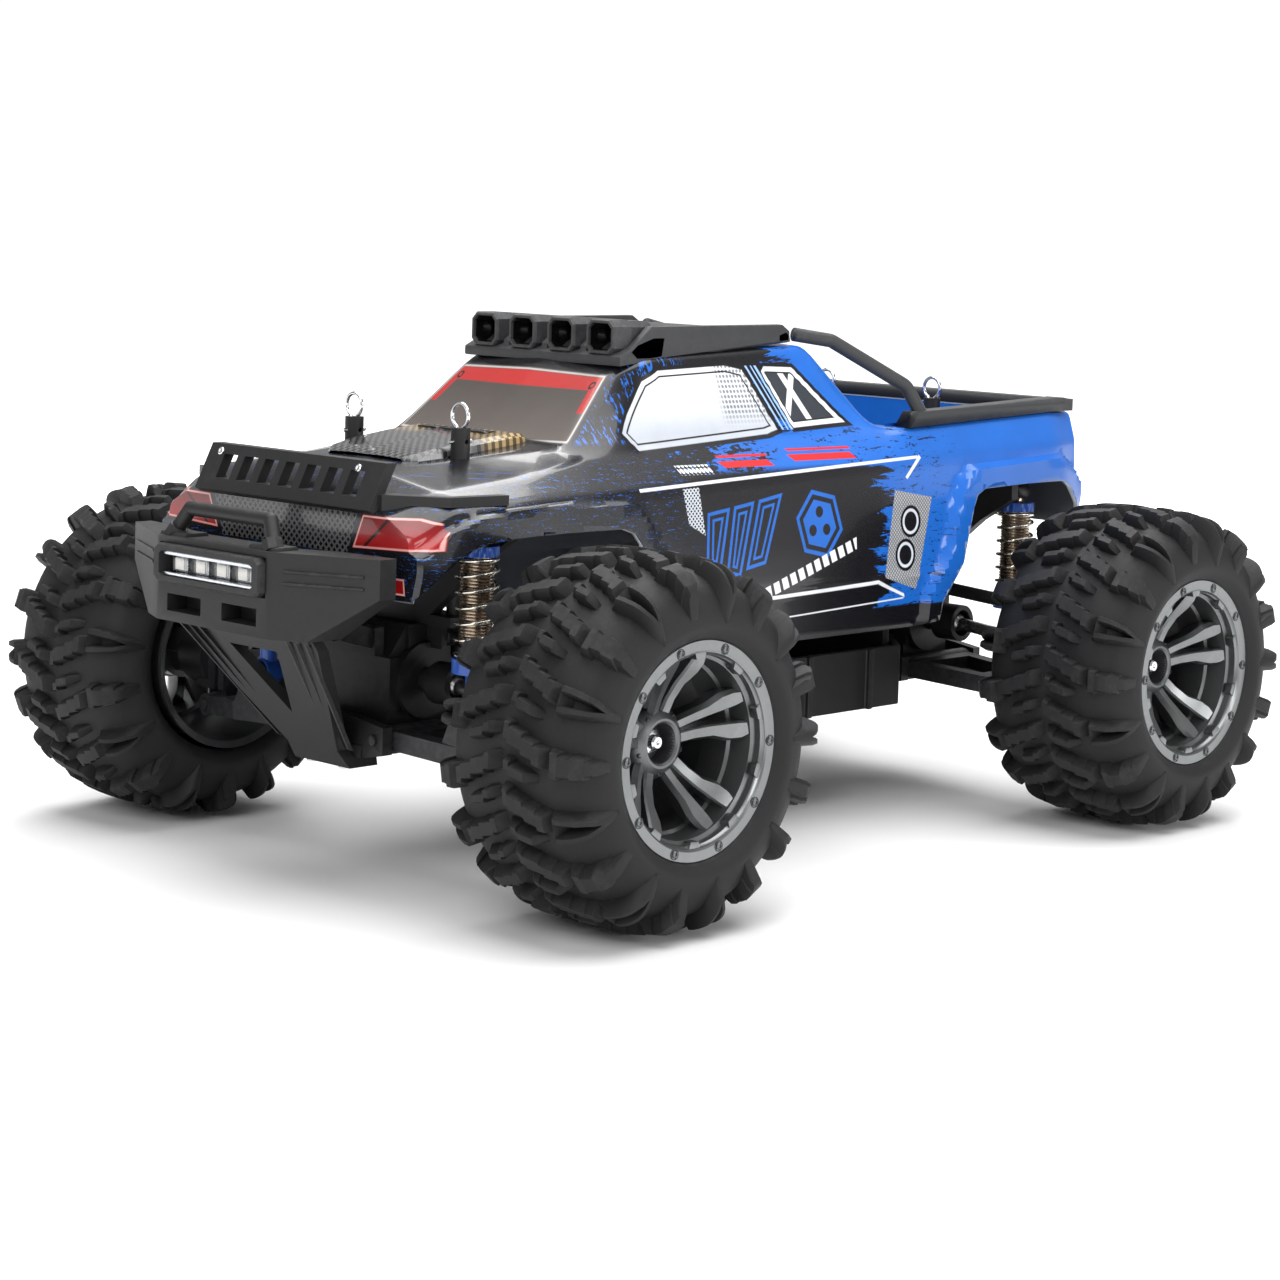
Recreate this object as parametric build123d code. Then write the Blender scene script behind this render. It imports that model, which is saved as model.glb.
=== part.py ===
from build123d import *
import math
import os

# RC monster truck, 1:16 class.  Millimetres, +X forward, +Y to the truck's left, +Z up.
# Everything is drawn about the middle of the wheelbase, and shifted along X at the end
# so that the origin is the bottom centre of the whole truck's box.

# ---- driving dimensions -------------------------------------------------------------
HALF_WHEELBASE = 100.0
TYRE_RADIUS = 44.0
TYRE_HALF_WIDTH = 24.4
WHEEL_Y = 85.4
FRONT_X = 158.8
X_SHIFT = -(FRONT_X - HALF_WHEELBASE - TYRE_RADIUS) / 2

# suspension: parallel lower arm and upper link, hinged about X
PIVOT_Y = 16.0
ARM_SPAN_Y = 46.0
ARM_DROP = 3.0
LOWER_Z = 35.0
UPPER_Z = 59.0
ARM_LENGTH = math.hypot(ARM_SPAN_Y, ARM_DROP)
ARM_ANGLE = -math.degrees(math.atan2(ARM_DROP, ARM_SPAN_Y))
BUMP_DEG = 14.0
HINGE_PIN_R = 1.25
RUN_CLEARANCE = 0.05
LINK_X0 = 93.0
LINK_X1 = 97.0

# steering
KINGPIN_Y = 67.0
KINGPIN_R = 1.4
STEER_DEG = 20.0
STEER_ARM = 14.0
TIE_ROD_Z = 54.5
TIE_ROD_INNER_Y = KINGPIN_Y - ARM_SPAN_Y
LINK_BAR_Z = TIE_ROD_Z + ARM_DROP
BALL_STUD_R = 1.2
SERVO_AXIS = (HALF_WHEELBASE - 2 * STEER_ARM, 9.2)

# shock absorbers, upright at rest
SHOCK_X = 107.0
SHOCK_Y = 39.0
SHOCK_TOP_Z = 88.0
SHOCK_EYE_Z = 44.0
SHOCK_BODY_R = 4.2
SHOCK_BODY_Z0 = 60.5
SPRING_MEAN_R = 5.05
SPRING_WIRE_R = 0.42
SPRING_Z0 = 57.2
SPRING_Z1 = 82.0
SPRING_COILS = 7
ROD_R = 1.45

# drive line
DRIVE_Z = 48.0
INNER_CUP_Y = 24.0
CUP_R = 5.3
CUP_BORE_R = 3.8
DRIVESHAFT_R = 1.8
CROSS_PIN_R = 0.9
SHAFT_R = 2.0
GEAR_MODULE = 0.6
SPUR_TEETH = 44
PINION_TEETH = 15
GEAR_BACKLASH = 0.16
PRESSURE_DEG = 20.0
GEAR_X0 = -74.0
GEAR_X1 = -70.0
MESH_DISTANCE = GEAR_MODULE * (SPUR_TEETH + PINION_TEETH) / 2 + 0.1
MESH_DEG = 45.0
MOTOR_Y = MESH_DISTANCE * math.cos(math.radians(MESH_DEG))
MOTOR_Z = DRIVE_Z + MESH_DISTANCE * math.sin(math.radians(MESH_DEG))
MOTOR_R = 12.0

# chassis and gearboxes
TUB_Z0 = 28.0
TUB_Z1 = 45.0
TUB_HALF_WIDTH = 31.0
TUB_WALL = 2.0
TUB_END_X = 80.6
GEARBOX_HALF_WIDTH = 13.0
GEARBOX_TOP_Z = 62.0
TOWER_X0 = 98.0
TOWER_X1 = 101.0
POST_Y = 20.0
FRONT_POST_X = 96.0
REAR_POST_X = -90.0
POST_R = 2.4

# body shell
SHELL_WALL = 1.2
BED_FLOOR_Z = 94.0
BED_X0 = -118.0
BED_X1 = -44.0
BED_HALF_WIDTH = 40.0
TOP_Z = 138.0

# wheels
RIM_RING_R = 25.75
RIM_RING_INNER_R = 21.5
RIM_FACE = 21.3
BEAD_R = 24.5
BEAD_GAP = 0.05
BARREL_INNER_R = 22.0
RIM_BOLTS = 10
SPOKES = 10


# ---- small helpers ------------------------------------------------------------------
def block(x0, x1, y0, y1, z0, z1):
    centre = Pos((x0 + x1) / 2, (y0 + y1) / 2, (z0 + z1) / 2)
    return centre * Box(abs(x1 - x0), abs(y1 - y0), abs(z1 - z0))


def rod(radius, start, end):
    a = Vector(*start)
    b = Vector(*end)
    plane = Plane(origin=a, z_dir=(b - a).normalized())
    return plane * Cylinder(radius, (b - a).length, align=(Align.CENTER, Align.CENTER, Align.MIN))


def rod_x(radius, x0, x1, y, z):
    return rod(radius, (x0, y, z), (x1, y, z))


def rod_y(radius, y0, y1, x, z):
    return rod(radius, (x, y0, z), (x, y1, z))


def rod_z(radius, z0, z1, x, y):
    return rod(radius, (x, y, z0), (x, y, z1))


def prism_x(outline, x0, x1):
    face = make_face(Polyline([(x0, y, z) for y, z in outline], close=True))
    return extrude(face, amount=x1 - x0, dir=(1, 0, 0))


def prism_y(outline, y0, y1):
    face = make_face(Polyline([(x, y0, z) for x, z in outline], close=True))
    return extrude(face, amount=y1 - y0, dir=(0, 1, 0))


def prism_z(outline, z0, z1):
    face = make_face(Polyline([(x, y, z0) for x, y in outline], close=True))
    return extrude(face, amount=z1 - z0, dir=(0, 0, 1))


def ring_y(outer, inner, y0, y1, x, z):
    return rod_y(outer, y0, y1, x, z) - rod_y(inner, y0 - 1, y1 + 1, x, z)


def revolve_y(outline):
    """Turn a (radius, offset) outline about the wheel axis of the front left corner."""
    points = [(HALF_WHEELBASE + r, WHEEL_Y + y, TYRE_RADIUS) for r, y in outline]
    face = make_face(Polyline(points, close=True))
    axis = Axis((HALF_WHEELBASE, 0, TYRE_RADIUS), (0, 1, 0))
    return revolve(face, axis, 360)


def hexagon_y(across_flats, y0, y1, x, z):
    radius = across_flats / math.sqrt(3)
    outline = [(x + radius * math.cos(math.radians(60 * k)), z + radius * math.sin(math.radians(60 * k)))
               for k in range(6)]
    return prism_y(outline, y0, y1)


def corner(shape, fore, side):
    """Mirror a front left piece to its own corner: fore is +1 or -1, side is +1 or -1."""
    if fore < 0:
        shape = mirror(shape, about=Plane.YZ)
    if side < 0:
        shape = mirror(shape, about=Plane.XZ)
    return shape


def both_sides(shape):
    return [shape, mirror(shape, about=Plane.XZ)]


def group(*shapes):
    """Several separate solids in one node."""
    solids = []
    for shape in shapes:
        solids.extend(shape.solids())
    return Compound(solids)


# ---- wheels -------------------------------------------------------------------------
def tyre():
    half = TYRE_HALF_WIDTH
    seat = RIM_FACE - 3.2
    crown = [(33.0, 1.0), (37.0, 0.98), (40.0, 0.9), (42.3, 0.75), (43.5, 0.5)]
    inner_side = [(r, -half * f) for r, f in crown]
    outer_side = [(r, half * f) for r, f in reversed(crown)]
    outline = [(BEAD_R, -half + 0.5)] + inner_side + [(TYRE_RADIUS, 0)] + outer_side
    flange_r = RIM_RING_R + BEAD_GAP
    outline += [(flange_r, RIM_FACE), (flange_r, seat - BEAD_GAP), (BEAD_R, seat - BEAD_GAP)]
    bead = 14.0
    cavity = [(BEAD_R, -bead), (28, -20), (36, -21), (40.6, -12), (40.6, 12), (36, 21), (29, 19.5)]
    outline += [(BEAD_R, bead)] + cavity[::-1]
    return revolve_y(outline)


def wheel_disc():
    """Barrel, spokes and hub of one wheel, with the bead-lock ring and its bolts as solids."""
    seat_r = BEAD_R - BEAD_GAP
    barrel = revolve_y([(BARREL_INNER_R, -23.9), (seat_r, -23.9), (seat_r, RIM_FACE - 3.2),
                        (BARREL_INNER_R, RIM_FACE - 3.2)])
    hub_y0 = WHEEL_Y - 5.0
    hub_y1 = WHEEL_Y + 9.0
    x = HALF_WHEELBASE
    z = TYRE_RADIUS
    wheel = barrel + rod_y(8.5, hub_y0, hub_y1, x, z)
    spoke = block(x + 6, x + BARREL_INNER_R + 0.6, hub_y1 - 4.5, hub_y1, z - 2.1, z + 2.1)
    axis = Axis((x, 0, z), (0, 1, 0))
    for k in range(SPOKES):
        wheel += spoke.rotate(axis, 360.0 * (k + 0.5) / SPOKES)
    wheel -= rod_y(SHAFT_R, 60, 120, x, z)
    wheel -= hexagon_y(12.0, hub_y0 - 1, hub_y0 + 3, x, z)
    ring = ring_y(RIM_RING_R, RIM_RING_INNER_R, WHEEL_Y + RIM_FACE - 3.2, WHEEL_Y + RIM_FACE, x, z)
    bolt_circle = (RIM_RING_R + RIM_RING_INNER_R) / 2
    for k in range(RIM_BOLTS):
        angle = math.radians(360.0 * k / RIM_BOLTS)
        bx = x + bolt_circle * math.cos(angle)
        bz = z + bolt_circle * math.sin(angle)
        ring += rod_y(1.0, WHEEL_Y + RIM_FACE - 0.2, WHEEL_Y + RIM_FACE + 0.6, bx, bz)
    return [wheel, ring]


def stub_axle():
    """Drive cup, stub axle, wheel hex and nut: they turn with the wheel."""
    x = HALF_WHEELBASE
    z = TYRE_RADIUS
    hub_y0 = WHEEL_Y - 5.0
    nut_y = WHEEL_Y + 9.0
    axle = rod_y(5.0, 64.0, 71.2, x, z) - rod_y(CUP_BORE_R, 63.0, 70.3, x, z)
    axle += rod_y(SHAFT_R, 71.0, nut_y + 4.6, x, z)
    drive_hex = hexagon_y(12.0, hub_y0 - 3.5, hub_y0 + 3.0, x, z) - rod_y(SHAFT_R, 70, 90, x, z)
    nut = hexagon_y(7.0, nut_y, nut_y + 3.6, x, z) - rod_y(SHAFT_R, nut_y - 1, nut_y + 5, x, z)
    return [axle, drive_hex, nut]


# ---- suspension ---------------------------------------------------------------------
def lower_arm():
    """A-shaped arm with a shock lug, and its two hinge pins."""
    x = HALF_WHEELBASE
    outline = [(x - 15, 0), (x - 9.2, ARM_LENGTH), (x + 9.2, ARM_LENGTH), (x + 15, 0)]
    arm = prism_z(outline, -2.4, 2.4)
    arm += rod_x(3.2, x - 15, x + 15, 0, 0)
    arm += rod_x(3.0, x - 9.2, x + 9.2, ARM_LENGTH, 0)
    arm -= block(x - 6.1, x + 6.1, ARM_LENGTH - 5.6, ARM_LENGTH + 6, -6, 6)
    window = [(x - 9.6, 6), (x - 7.4, 24), (x + 7.4, 24), (x + 9.6, 6)]
    arm -= prism_z(window, -1.0, 6)
    arm -= prism_z([(x - 3.4, 30), (x - 3.0, 38), (x + 3.0, 38), (x + 3.4, 30)], -6, 6)
    eye_y = SHOCK_Y - PIVOT_Y
    eye_z = SHOCK_EYE_Z - LOWER_Z
    lug = [(eye_y - 6, 1.0), (eye_y - 3.2, eye_z), (eye_y + 2.6, eye_z + 2), (eye_y + 8, 1.0)]
    lug_x0 = SHOCK_X + 2.9
    arm += prism_x(lug, lug_x0, lug_x0 + 2.2)
    arm += rod_x(3.0, lug_x0, lug_x0 + 2.2, eye_y, eye_z)
    arm += block(x + 8, lug_x0 + 2.2, eye_y - 6, eye_y + 8, -2.4, 2.4)
    inner_pin = rod_x(HINGE_PIN_R, x - 19.2, x + 19.2, 0, 0)
    outer_pin = rod_x(HINGE_PIN_R, x - 10.2, x + 10.2, ARM_LENGTH, 0)
    arm = arm - inner_pin - outer_pin
    place = Pos(0, PIVOT_Y, LOWER_Z) * Rot(ARM_ANGLE, 0, 0)
    # the shock stud is upright with the arm at rest, so it is added after the tilt
    tilted = place * arm
    stud_z = SHOCK_EYE_Z
    tilted += rod_x(HINGE_PIN_R, SHOCK_X - 2.9, lug_x0 + 2.2, SHOCK_Y, stud_z)
    tilted += rod_x(2.9, lug_x0, lug_x0 + 2.2, SHOCK_Y, stud_z)
    return [tilted, place * inner_pin, place * outer_pin]


def upper_link():
    """Two-eyed link beside the shock."""
    x0 = LINK_X0
    x1 = LINK_X1
    mid = (x0 + x1) / 2
    link = rod_x(2.6, x0, x1, 0, 0) + rod_x(2.6, x0, x1, ARM_LENGTH, 0)
    link += rod(1.5, (mid, 2.0, 0), (mid, ARM_LENGTH - 2.0, 0))
    link += rod_y(1.9, 9, ARM_LENGTH - 9, mid, 0)
    link -= rod_x(BALL_STUD_R + RUN_CLEARANCE, x0 - 1, x1 + 1, 0, 0)
    link -= rod_x(BALL_STUD_R + RUN_CLEARANCE, x0 - 1, x1 + 1, ARM_LENGTH, 0)
    return Pos(0, PIVOT_Y, UPPER_Z) * Rot(ARM_ANGLE, 0, 0) * link


def link_lugs():
    """Where an outer hub meets the lower arm and the upper link."""
    x = HALF_WHEELBASE
    y = PIVOT_Y + ARM_SPAN_Y
    low_z = LOWER_Z - ARM_DROP
    high_z = UPPER_Z - ARM_DROP
    lug = rod_x(3.0, x - 5.5, x + 5.5, y, low_z) + block(x - 5.5, x + 5.5, 58.2, y + 2, low_z - 3, low_z + 3)
    stud = rod_x(BALL_STUD_R, LINK_X0 - 0.6, x - 2, y, high_z)
    top = block(x - 2.4, x + 6.5, 58.2, y + 2.4, 50, high_z + 3)
    bore = rod_x(HINGE_PIN_R + RUN_CLEARANCE, x - 10, x + 10, y, low_z)
    return lug + top + stud, bore


def c_hub():
    """C-shaped carrier of the front corner, with the two kingpin studs."""
    x = HALF_WHEELBASE
    lugs, bore = link_lugs()
    low_z = LOWER_Z - ARM_DROP
    high_z = UPPER_Z - ARM_DROP
    web = block(x - 5.5, x + 5.5, 58.2, 60.4, low_z - 3, 37) + block(x - 6.5, x + 6.5, 58.2, 60.4, 36, 52.2)
    hub = lugs + web
    hub -= rod_y(5.2, 50, 61.0, x, TYRE_RADIUS)
    hub -= block(x - 8, x + 8, 60.4, 66, 36.2, 53.9)
    hub += block(x - 3.6, x + 3.6, 60, KINGPIN_Y, low_z - 3, low_z + 3)
    hub += rod_z(3.6, low_z - 3, low_z + 3, x, KINGPIN_Y)
    hub += block(x - 2.4, x + 3.6, 60, KINGPIN_Y, high_z - 1, high_z + 3)
    hub += rod_z(3.6, high_z - 1, high_z + 3, x, KINGPIN_Y)
    hub += rod_z(KINGPIN_R, low_z + 2, low_z + 6.2, x, KINGPIN_Y)
    hub += rod_z(KINGPIN_R, high_z - 4.0, high_z, x, KINGPIN_Y)
    return hub - bore


def knuckle():
    """Steering knuckle with its wheel bearing, turning on the kingpin studs."""
    x = HALF_WHEELBASE
    z = TYRE_RADIUS
    base = block(x - 5.5, x + 5.5, 63.2, 70.5, 35.6, 53.4)
    base += rod_y(8.2, 66.0, 75.6, x, z)
    arm_z0 = TIE_ROD_Z - 5.0
    arm_z1 = TIE_ROD_Z - 2.7
    base += block(x - STEER_ARM, x - 3, KINGPIN_Y - 2.6, KINGPIN_Y + 2.6, arm_z0, arm_z1)
    base += rod_z(2.6, arm_z0, arm_z1, x - STEER_ARM, KINGPIN_Y)
    base += rod_z(BALL_STUD_R, arm_z1, TIE_ROD_Z + 2.4, x - STEER_ARM, KINGPIN_Y)
    base -= rod_y(5.4, 60, 71.4, x, z)
    base -= rod_y(5.0, 71.0, 80, x, z)
    base -= rod_z(KINGPIN_R + RUN_CLEARANCE, 30, 60, x, KINGPIN_Y)
    bearing = ring_y(5.0, SHAFT_R + RUN_CLEARANCE, 71.6, 75.6, x, z)
    return [base, bearing]


def rear_hub():
    """Fixed rear hub carrier with its wheel bearing."""
    x = HALF_WHEELBASE
    z = TYRE_RADIUS
    lugs, bore = link_lugs()
    hub = lugs + block(x - 6.5, x + 6.5, 58.2, 64.4, 36, 52.2) + block(x - 5.5, x + 5.5, 58.2, 64.4, 29, 37)
    hub += rod_y(8.2, 60.0, 75.6, x, z)
    hub -= rod_y(5.4, 50, 71.4, x, z)
    hub -= rod_y(5.0, 71.0, 80, x, z)
    bearing = ring_y(5.0, SHAFT_R + RUN_CLEARANCE, 71.6, 75.6, x, z)
    return [hub - bore, bearing]


def driveshaft():
    """Dog-bone shaft between the gearbox cup and the wheel cup."""
    x = HALF_WHEELBASE
    inner = (x, INNER_CUP_Y, DRIVE_Z)
    outer = (x, KINGPIN_Y, TYRE_RADIUS)
    shaft = rod(DRIVESHAFT_R, inner, outer)
    shaft += Pos(*inner) * Sphere(3.0)
    shaft += rod_x(CROSS_PIN_R, x - 3.6, x + 3.6, INNER_CUP_Y, DRIVE_Z)
    shaft += Pos(*outer) * Sphere(2.7)
    shaft += rod_x(CROSS_PIN_R, x - 3.5, x + 3.5, KINGPIN_Y, TYRE_RADIUS)
    return shaft


def shock_body():
    """Threaded damper body with its top eye and adjusting collar."""
    x = SHOCK_X
    y = SHOCK_Y
    top = SHOCK_TOP_Z
    damper = rod_z(SHOCK_BODY_R, SHOCK_BODY_Z0, top - 3.4, x, y)
    damper += rod_z(5.3, SPRING_Z1, SPRING_Z1 + 2.6, x, y)
    damper += rod_x(3.0, x - 2.6, x + 2.6, y, top)
    damper += rod_z(2.3, top - 4, top, x, y)
    damper -= rod_x(HINGE_PIN_R + RUN_CLEARANCE, x - 4, x + 4, y, top)
    damper -= rod_z(ROD_R + RUN_CLEARANCE, SHOCK_BODY_Z0 - 1, SPRING_Z1 - 3, x, y)
    return damper


def shock_rod():
    """Piston rod with its lower eye and the cup that carries the spring."""
    x = SHOCK_X
    y = SHOCK_Y
    eye = SHOCK_EYE_Z
    cup_z = SPRING_Z0 - 2.4
    piece = rod_z(ROD_R, eye + 3, SHOCK_BODY_Z0 + 5.5, x, y)
    piece += rod_z(2.2, eye, cup_z, x, y)
    piece += rod_z(5.6, cup_z - 1.2, SPRING_Z0, x, y) - rod_z(4.6, cup_z, SPRING_Z0 + 1, x, y)
    piece += rod_z(ROD_R, cup_z - 1, SHOCK_BODY_Z0 + 5.5, x, y)
    piece += rod_x(3.3, x - 2.5, x + 2.5, y, eye)
    return piece - rod_x(HINGE_PIN_R + 0.45, x - 4, x + 4, y, eye)


def spring():
    """Coil spring between the collar and the cup."""
    height = SPRING_Z1 - SPRING_Z0 - 2 * SPRING_WIRE_R
    pitch = height / SPRING_COILS
    path = Helix(pitch=pitch, height=height, radius=SPRING_MEAN_R)
    start = path @ 0
    section = Plane(origin=start, z_dir=path % 0) * Circle(SPRING_WIRE_R)
    coil = sweep(section, path=path, is_frenet=True)
    return Pos(SHOCK_X, SHOCK_Y, SPRING_Z0 + SPRING_WIRE_R) * coil


# ---- steering -----------------------------------------------------------------------
def steering_link():
    """Sliding bar between the two tie rods, driven by the servo arm."""
    x = HALF_WHEELBASE - STEER_ARM
    z = LINK_BAR_Z
    end = TIE_ROD_INNER_Y
    bar = block(x - 2.5, x + 2.5, -end + 3.4, end - 3.4, z - 1.5, z + 1.5)
    for side in (1, -1):
        shoulder = (side * (end - 5.4), side * (end - 3.2))
        bar += block(x - 3.9, x + 3.9, min(shoulder), max(shoulder), z - 2.2, z + 2.2)
        ears = block(x - 3.9, x + 3.9, min(side * (end - 5.4), side * end), max(side * (end - 5.4), side * end),
                     z - 2.2, z + 2.2)
        ears += rod_x(2.2, x - 3.9, x + 3.9, side * end, z)
        gap = (side * (end - 3.2), side * (end + 4))
        ears -= block(x - 1.9, x + 1.9, min(gap), max(gap), z - 4, z + 4)
        bar += ears
        bar += rod_x(BALL_STUD_R, x - 3.9, x + 3.9, side * end, z)
    bar -= rod_z(BALL_STUD_R + 1.0, z - 3, z + 3, x, SERVO_AXIS[1])
    return bar


def tie_rod():
    """Rod from the steering link to one knuckle."""
    x = HALF_WHEELBASE - STEER_ARM
    y0 = TIE_ROD_INNER_Y
    run = rod_x(2.3, x - 1.5, x + 1.5, 0, 0)
    run += rod_y(1.4, 1.5, ARM_LENGTH - 2.2, x, 0)
    run += rod_y(1.9, 2.0, 8.0, x, 0)
    run -= rod_x(BALL_STUD_R + RUN_CLEARANCE, x - 3, x + 3, 0, 0)
    placed = Pos(0, y0, LINK_BAR_Z) * Rot(ARM_ANGLE, 0, 0) * run
    eye_x = x + 0.4
    placed += rod_z(3.0, TIE_ROD_Z - 1.4, TIE_ROD_Z + 1.4, eye_x, KINGPIN_Y)
    placed -= rod_z(BALL_STUD_R + 0.95, TIE_ROD_Z - 4, TIE_ROD_Z + 4, eye_x, KINGPIN_Y)
    return placed


def servo_arm():
    x, y = SERVO_AXIS
    z0 = LINK_BAR_Z - 5.0
    z1 = LINK_BAR_Z - 2.2
    arm = rod_z(4.2, z0, z1, x, y)
    arm += prism_z([(x, y - 3.4), (x + STEER_ARM, y - 2), (x + STEER_ARM, y + 2), (x, y + 3.4)], z0, z1)
    arm += rod_z(2.0, z0, z1, x + STEER_ARM, y)
    arm += rod_z(BALL_STUD_R, z1, LINK_BAR_Z + 2.4, x + STEER_ARM, y)
    return arm - rod_z(1.6, z0 - 1, z1 - 0.8, x, y)


def steering_servo():
    x, y = SERVO_AXIS
    case = block(x - 20, x + 4.0, y - 6.0, y + 6.0, TUB_Z0 + TUB_WALL, 50.0)
    case += block(x - 23, x + 6.4, y - 6.0, y + 4.4, 43.0, 45.0)
    spline = rod_z(1.55, 50.0, LINK_BAR_Z - 3.1, x, y)
    return [case + rod_z(3.4, 50.0, 51.6, x, y), spline - rod_z(3.4, 49, 51.6, x, y)]


# ---- drive line ---------------------------------------------------------------------
def gear_outline(teeth, first_deg, y, z):
    """Involute teeth as a closed outline, with one tooth centred on first_deg."""
    pitch_r = GEAR_MODULE * teeth / 2
    base_r = pitch_r * math.cos(math.radians(PRESSURE_DEG))
    root_r = pitch_r - 1.2 * GEAR_MODULE
    tip_r = pitch_r + 0.95 * GEAR_MODULE
    pressure = math.radians(PRESSURE_DEG)

    def involute(angle):
        return math.tan(angle) - angle

    def half_angle(radius):
        angle = math.acos(min(1.0, base_r / radius))
        thickness = math.pi / (2 * teeth) - GEAR_BACKLASH / (2 * pitch_r)
        return thickness + involute(pressure) - involute(angle)

    flank_radii = [max(base_r, root_r + 0.05), (base_r + pitch_r) / 2, pitch_r, tip_r]
    if flank_radii[1] <= flank_radii[0]:
        flank_radii[1] = (flank_radii[0] + pitch_r) / 2
    outline = []
    for k in range(teeth):
        centre = math.radians(first_deg) + 2 * math.pi * k / teeth
        foot = half_angle(flank_radii[0])
        side = [(root_r, -foot)] + [(r, -half_angle(r)) for r in flank_radii]
        side += [(r, half_angle(r)) for r in reversed(flank_radii)] + [(root_r, foot)]
        outline += [(y + r * math.cos(centre + a), z + r * math.sin(centre + a)) for r, a in side]
    return outline


def spur_gear():
    gear = prism_x(gear_outline(SPUR_TEETH, MESH_DEG, 0, DRIVE_Z), GEAR_X0, GEAR_X1)
    gear += rod_x(5.0, GEAR_X1, GEAR_X1 + 1.6, 0, DRIVE_Z)
    for k in range(6):
        angle = math.radians(60 * k)
        gear -= rod_x(2.0, GEAR_X0 - 1, GEAR_X1 + 1, 7.6 * math.cos(angle), DRIVE_Z + 7.6 * math.sin(angle))
    return gear - rod_x(SHAFT_R, GEAR_X0 - 1, GEAR_X1 + 3, 0, DRIVE_Z)


def centre_shaft():
    return rod_x(SHAFT_R, -90.0, 90.0, 0, DRIVE_Z)


def motor_pinion():
    first = MESH_DEG + 180.0 + 180.0 / PINION_TEETH
    pinion = prism_x(gear_outline(PINION_TEETH, first, MOTOR_Y, MOTOR_Z), GEAR_X0 - 1, GEAR_X1 + 1)
    return pinion + rod_x(1.5, GEAR_X0 - 1, -52.0, MOTOR_Y, MOTOR_Z)


def motor():
    can = rod_x(MOTOR_R, -65.0, -30.0, MOTOR_Y, MOTOR_Z)
    can += rod_x(4.0, -30.0, -27.5, MOTOR_Y, MOTOR_Z)
    return can - rod_x(1.5 + RUN_CLEARANCE, -67.0, -50.0, MOTOR_Y, MOTOR_Z)


# ---- chassis ------------------------------------------------------------------------
def tub_outline(inset):
    w = TUB_HALF_WIDTH - inset
    n = GEARBOX_HALF_WIDTH + 3 - inset
    x = TUB_END_X - inset
    half = [(x, n), (66 - inset / 2, w), (-66 + inset / 2, w), (-x, n)]
    return half + [(px, -py) for px, py in reversed(half)]


def chassis_tub():
    """Open plastic tub with side walls, cross ribs and the motor bulkhead."""
    tub = prism_z(tub_outline(0), TUB_Z0, TUB_Z1)
    tub -= prism_z(tub_outline(TUB_WALL), TUB_Z0 + TUB_WALL, TUB_Z1 + 5)
    bulkhead = block(-67.6, -65.0, -11, 25.5, TUB_Z0 + 1, 71.0)
    bulkhead -= rod_x(SHAFT_R + RUN_CLEARANCE, -70, -60, 0, DRIVE_Z)
    bulkhead -= rod_x(5.2, -70, -60, MOTOR_Y, MOTOR_Z)
    tub += bulkhead
    tub += block(-42, 50, -7.2, -6.0, TUB_Z0 + 1, 44)
    tub += block(-24, 32, 7.0, 8.2, TUB_Z0 + 1, 38)
    wall_y = TUB_HALF_WIDTH
    for x in (-52, -26, 0, 26, 52):
        for side in both_sides(block(x - 1, x + 1, wall_y - 0.5, wall_y + 1.2, TUB_Z0, TUB_Z1)):
            tub += side
    for side in (1, -1):
        tub -= block(side * (TUB_END_X - 3), side * (TUB_END_X + 3), -12.2, 12.2, TUB_Z0 + TUB_WALL, 60)
    return tub


def gearbox_housing():
    """One end's gearbox housing, drawn for the front."""
    x = HALF_WHEELBASE
    w = GEARBOX_HALF_WIDTH
    side = [(x - 9, 30), (x + 11, 30), (x + 11, 54), (x + 5, GEARBOX_TOP_Z), (x - 9, GEARBOX_TOP_Z)]
    housing = prism_y(side, -w + 0.8, w - 0.8) + block(x - 9, x + 11, -w, w, 41.0, 54.0)
    housing += block(x - 9, x + 5, -w, w, 50.0, GEARBOX_TOP_Z)
    housing += rod_y(9.5, -w - 1.5, w + 1.5, x, DRIVE_Z)
    housing += rod_x(5.2, x - 16, x - 8, 0, DRIVE_Z)
    housing += block(x - 23.5, x + 19, -12, 12, 30, 33)
    for x0, x1 in ((x - 18.5, x - 15.4), (x + 15.4, x + 18.5)):
        lug = [(-PIVOT_Y - 3.4, 31.6), (-PIVOT_Y - 3.4, 38.4), (-8, 40), (8, 40),
               (PIVOT_Y + 3.4, 38.4), (PIVOT_Y + 3.4, 31.6), (12, 30), (-12, 30)]
        housing += prism_x(lug, x0, x1)
    for side_sign in (1, -1):
        y0, y1 = sorted((side_sign * (w - 2), side_sign * (PIVOT_Y + 2.4)))
        for x0, x1 in ((x - 8.6, x - 7.3), (x - 2.7, x - 1.0)):
            housing += block(x0, x1, y0, y1, UPPER_Z - 3, UPPER_Z + 3)
        housing += rod_x(BALL_STUD_R, x - 8.6, x - 1.0, side_sign * PIVOT_Y, UPPER_Z)
        housing -= rod_x(HINGE_PIN_R + RUN_CLEARANCE, x - 25, x + 25, side_sign * PIVOT_Y, LOWER_Z)
    housing -= rod_x(SHAFT_R + RUN_CLEARANCE, x - 20, x - 8, 0, DRIVE_Z)
    return housing


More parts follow.
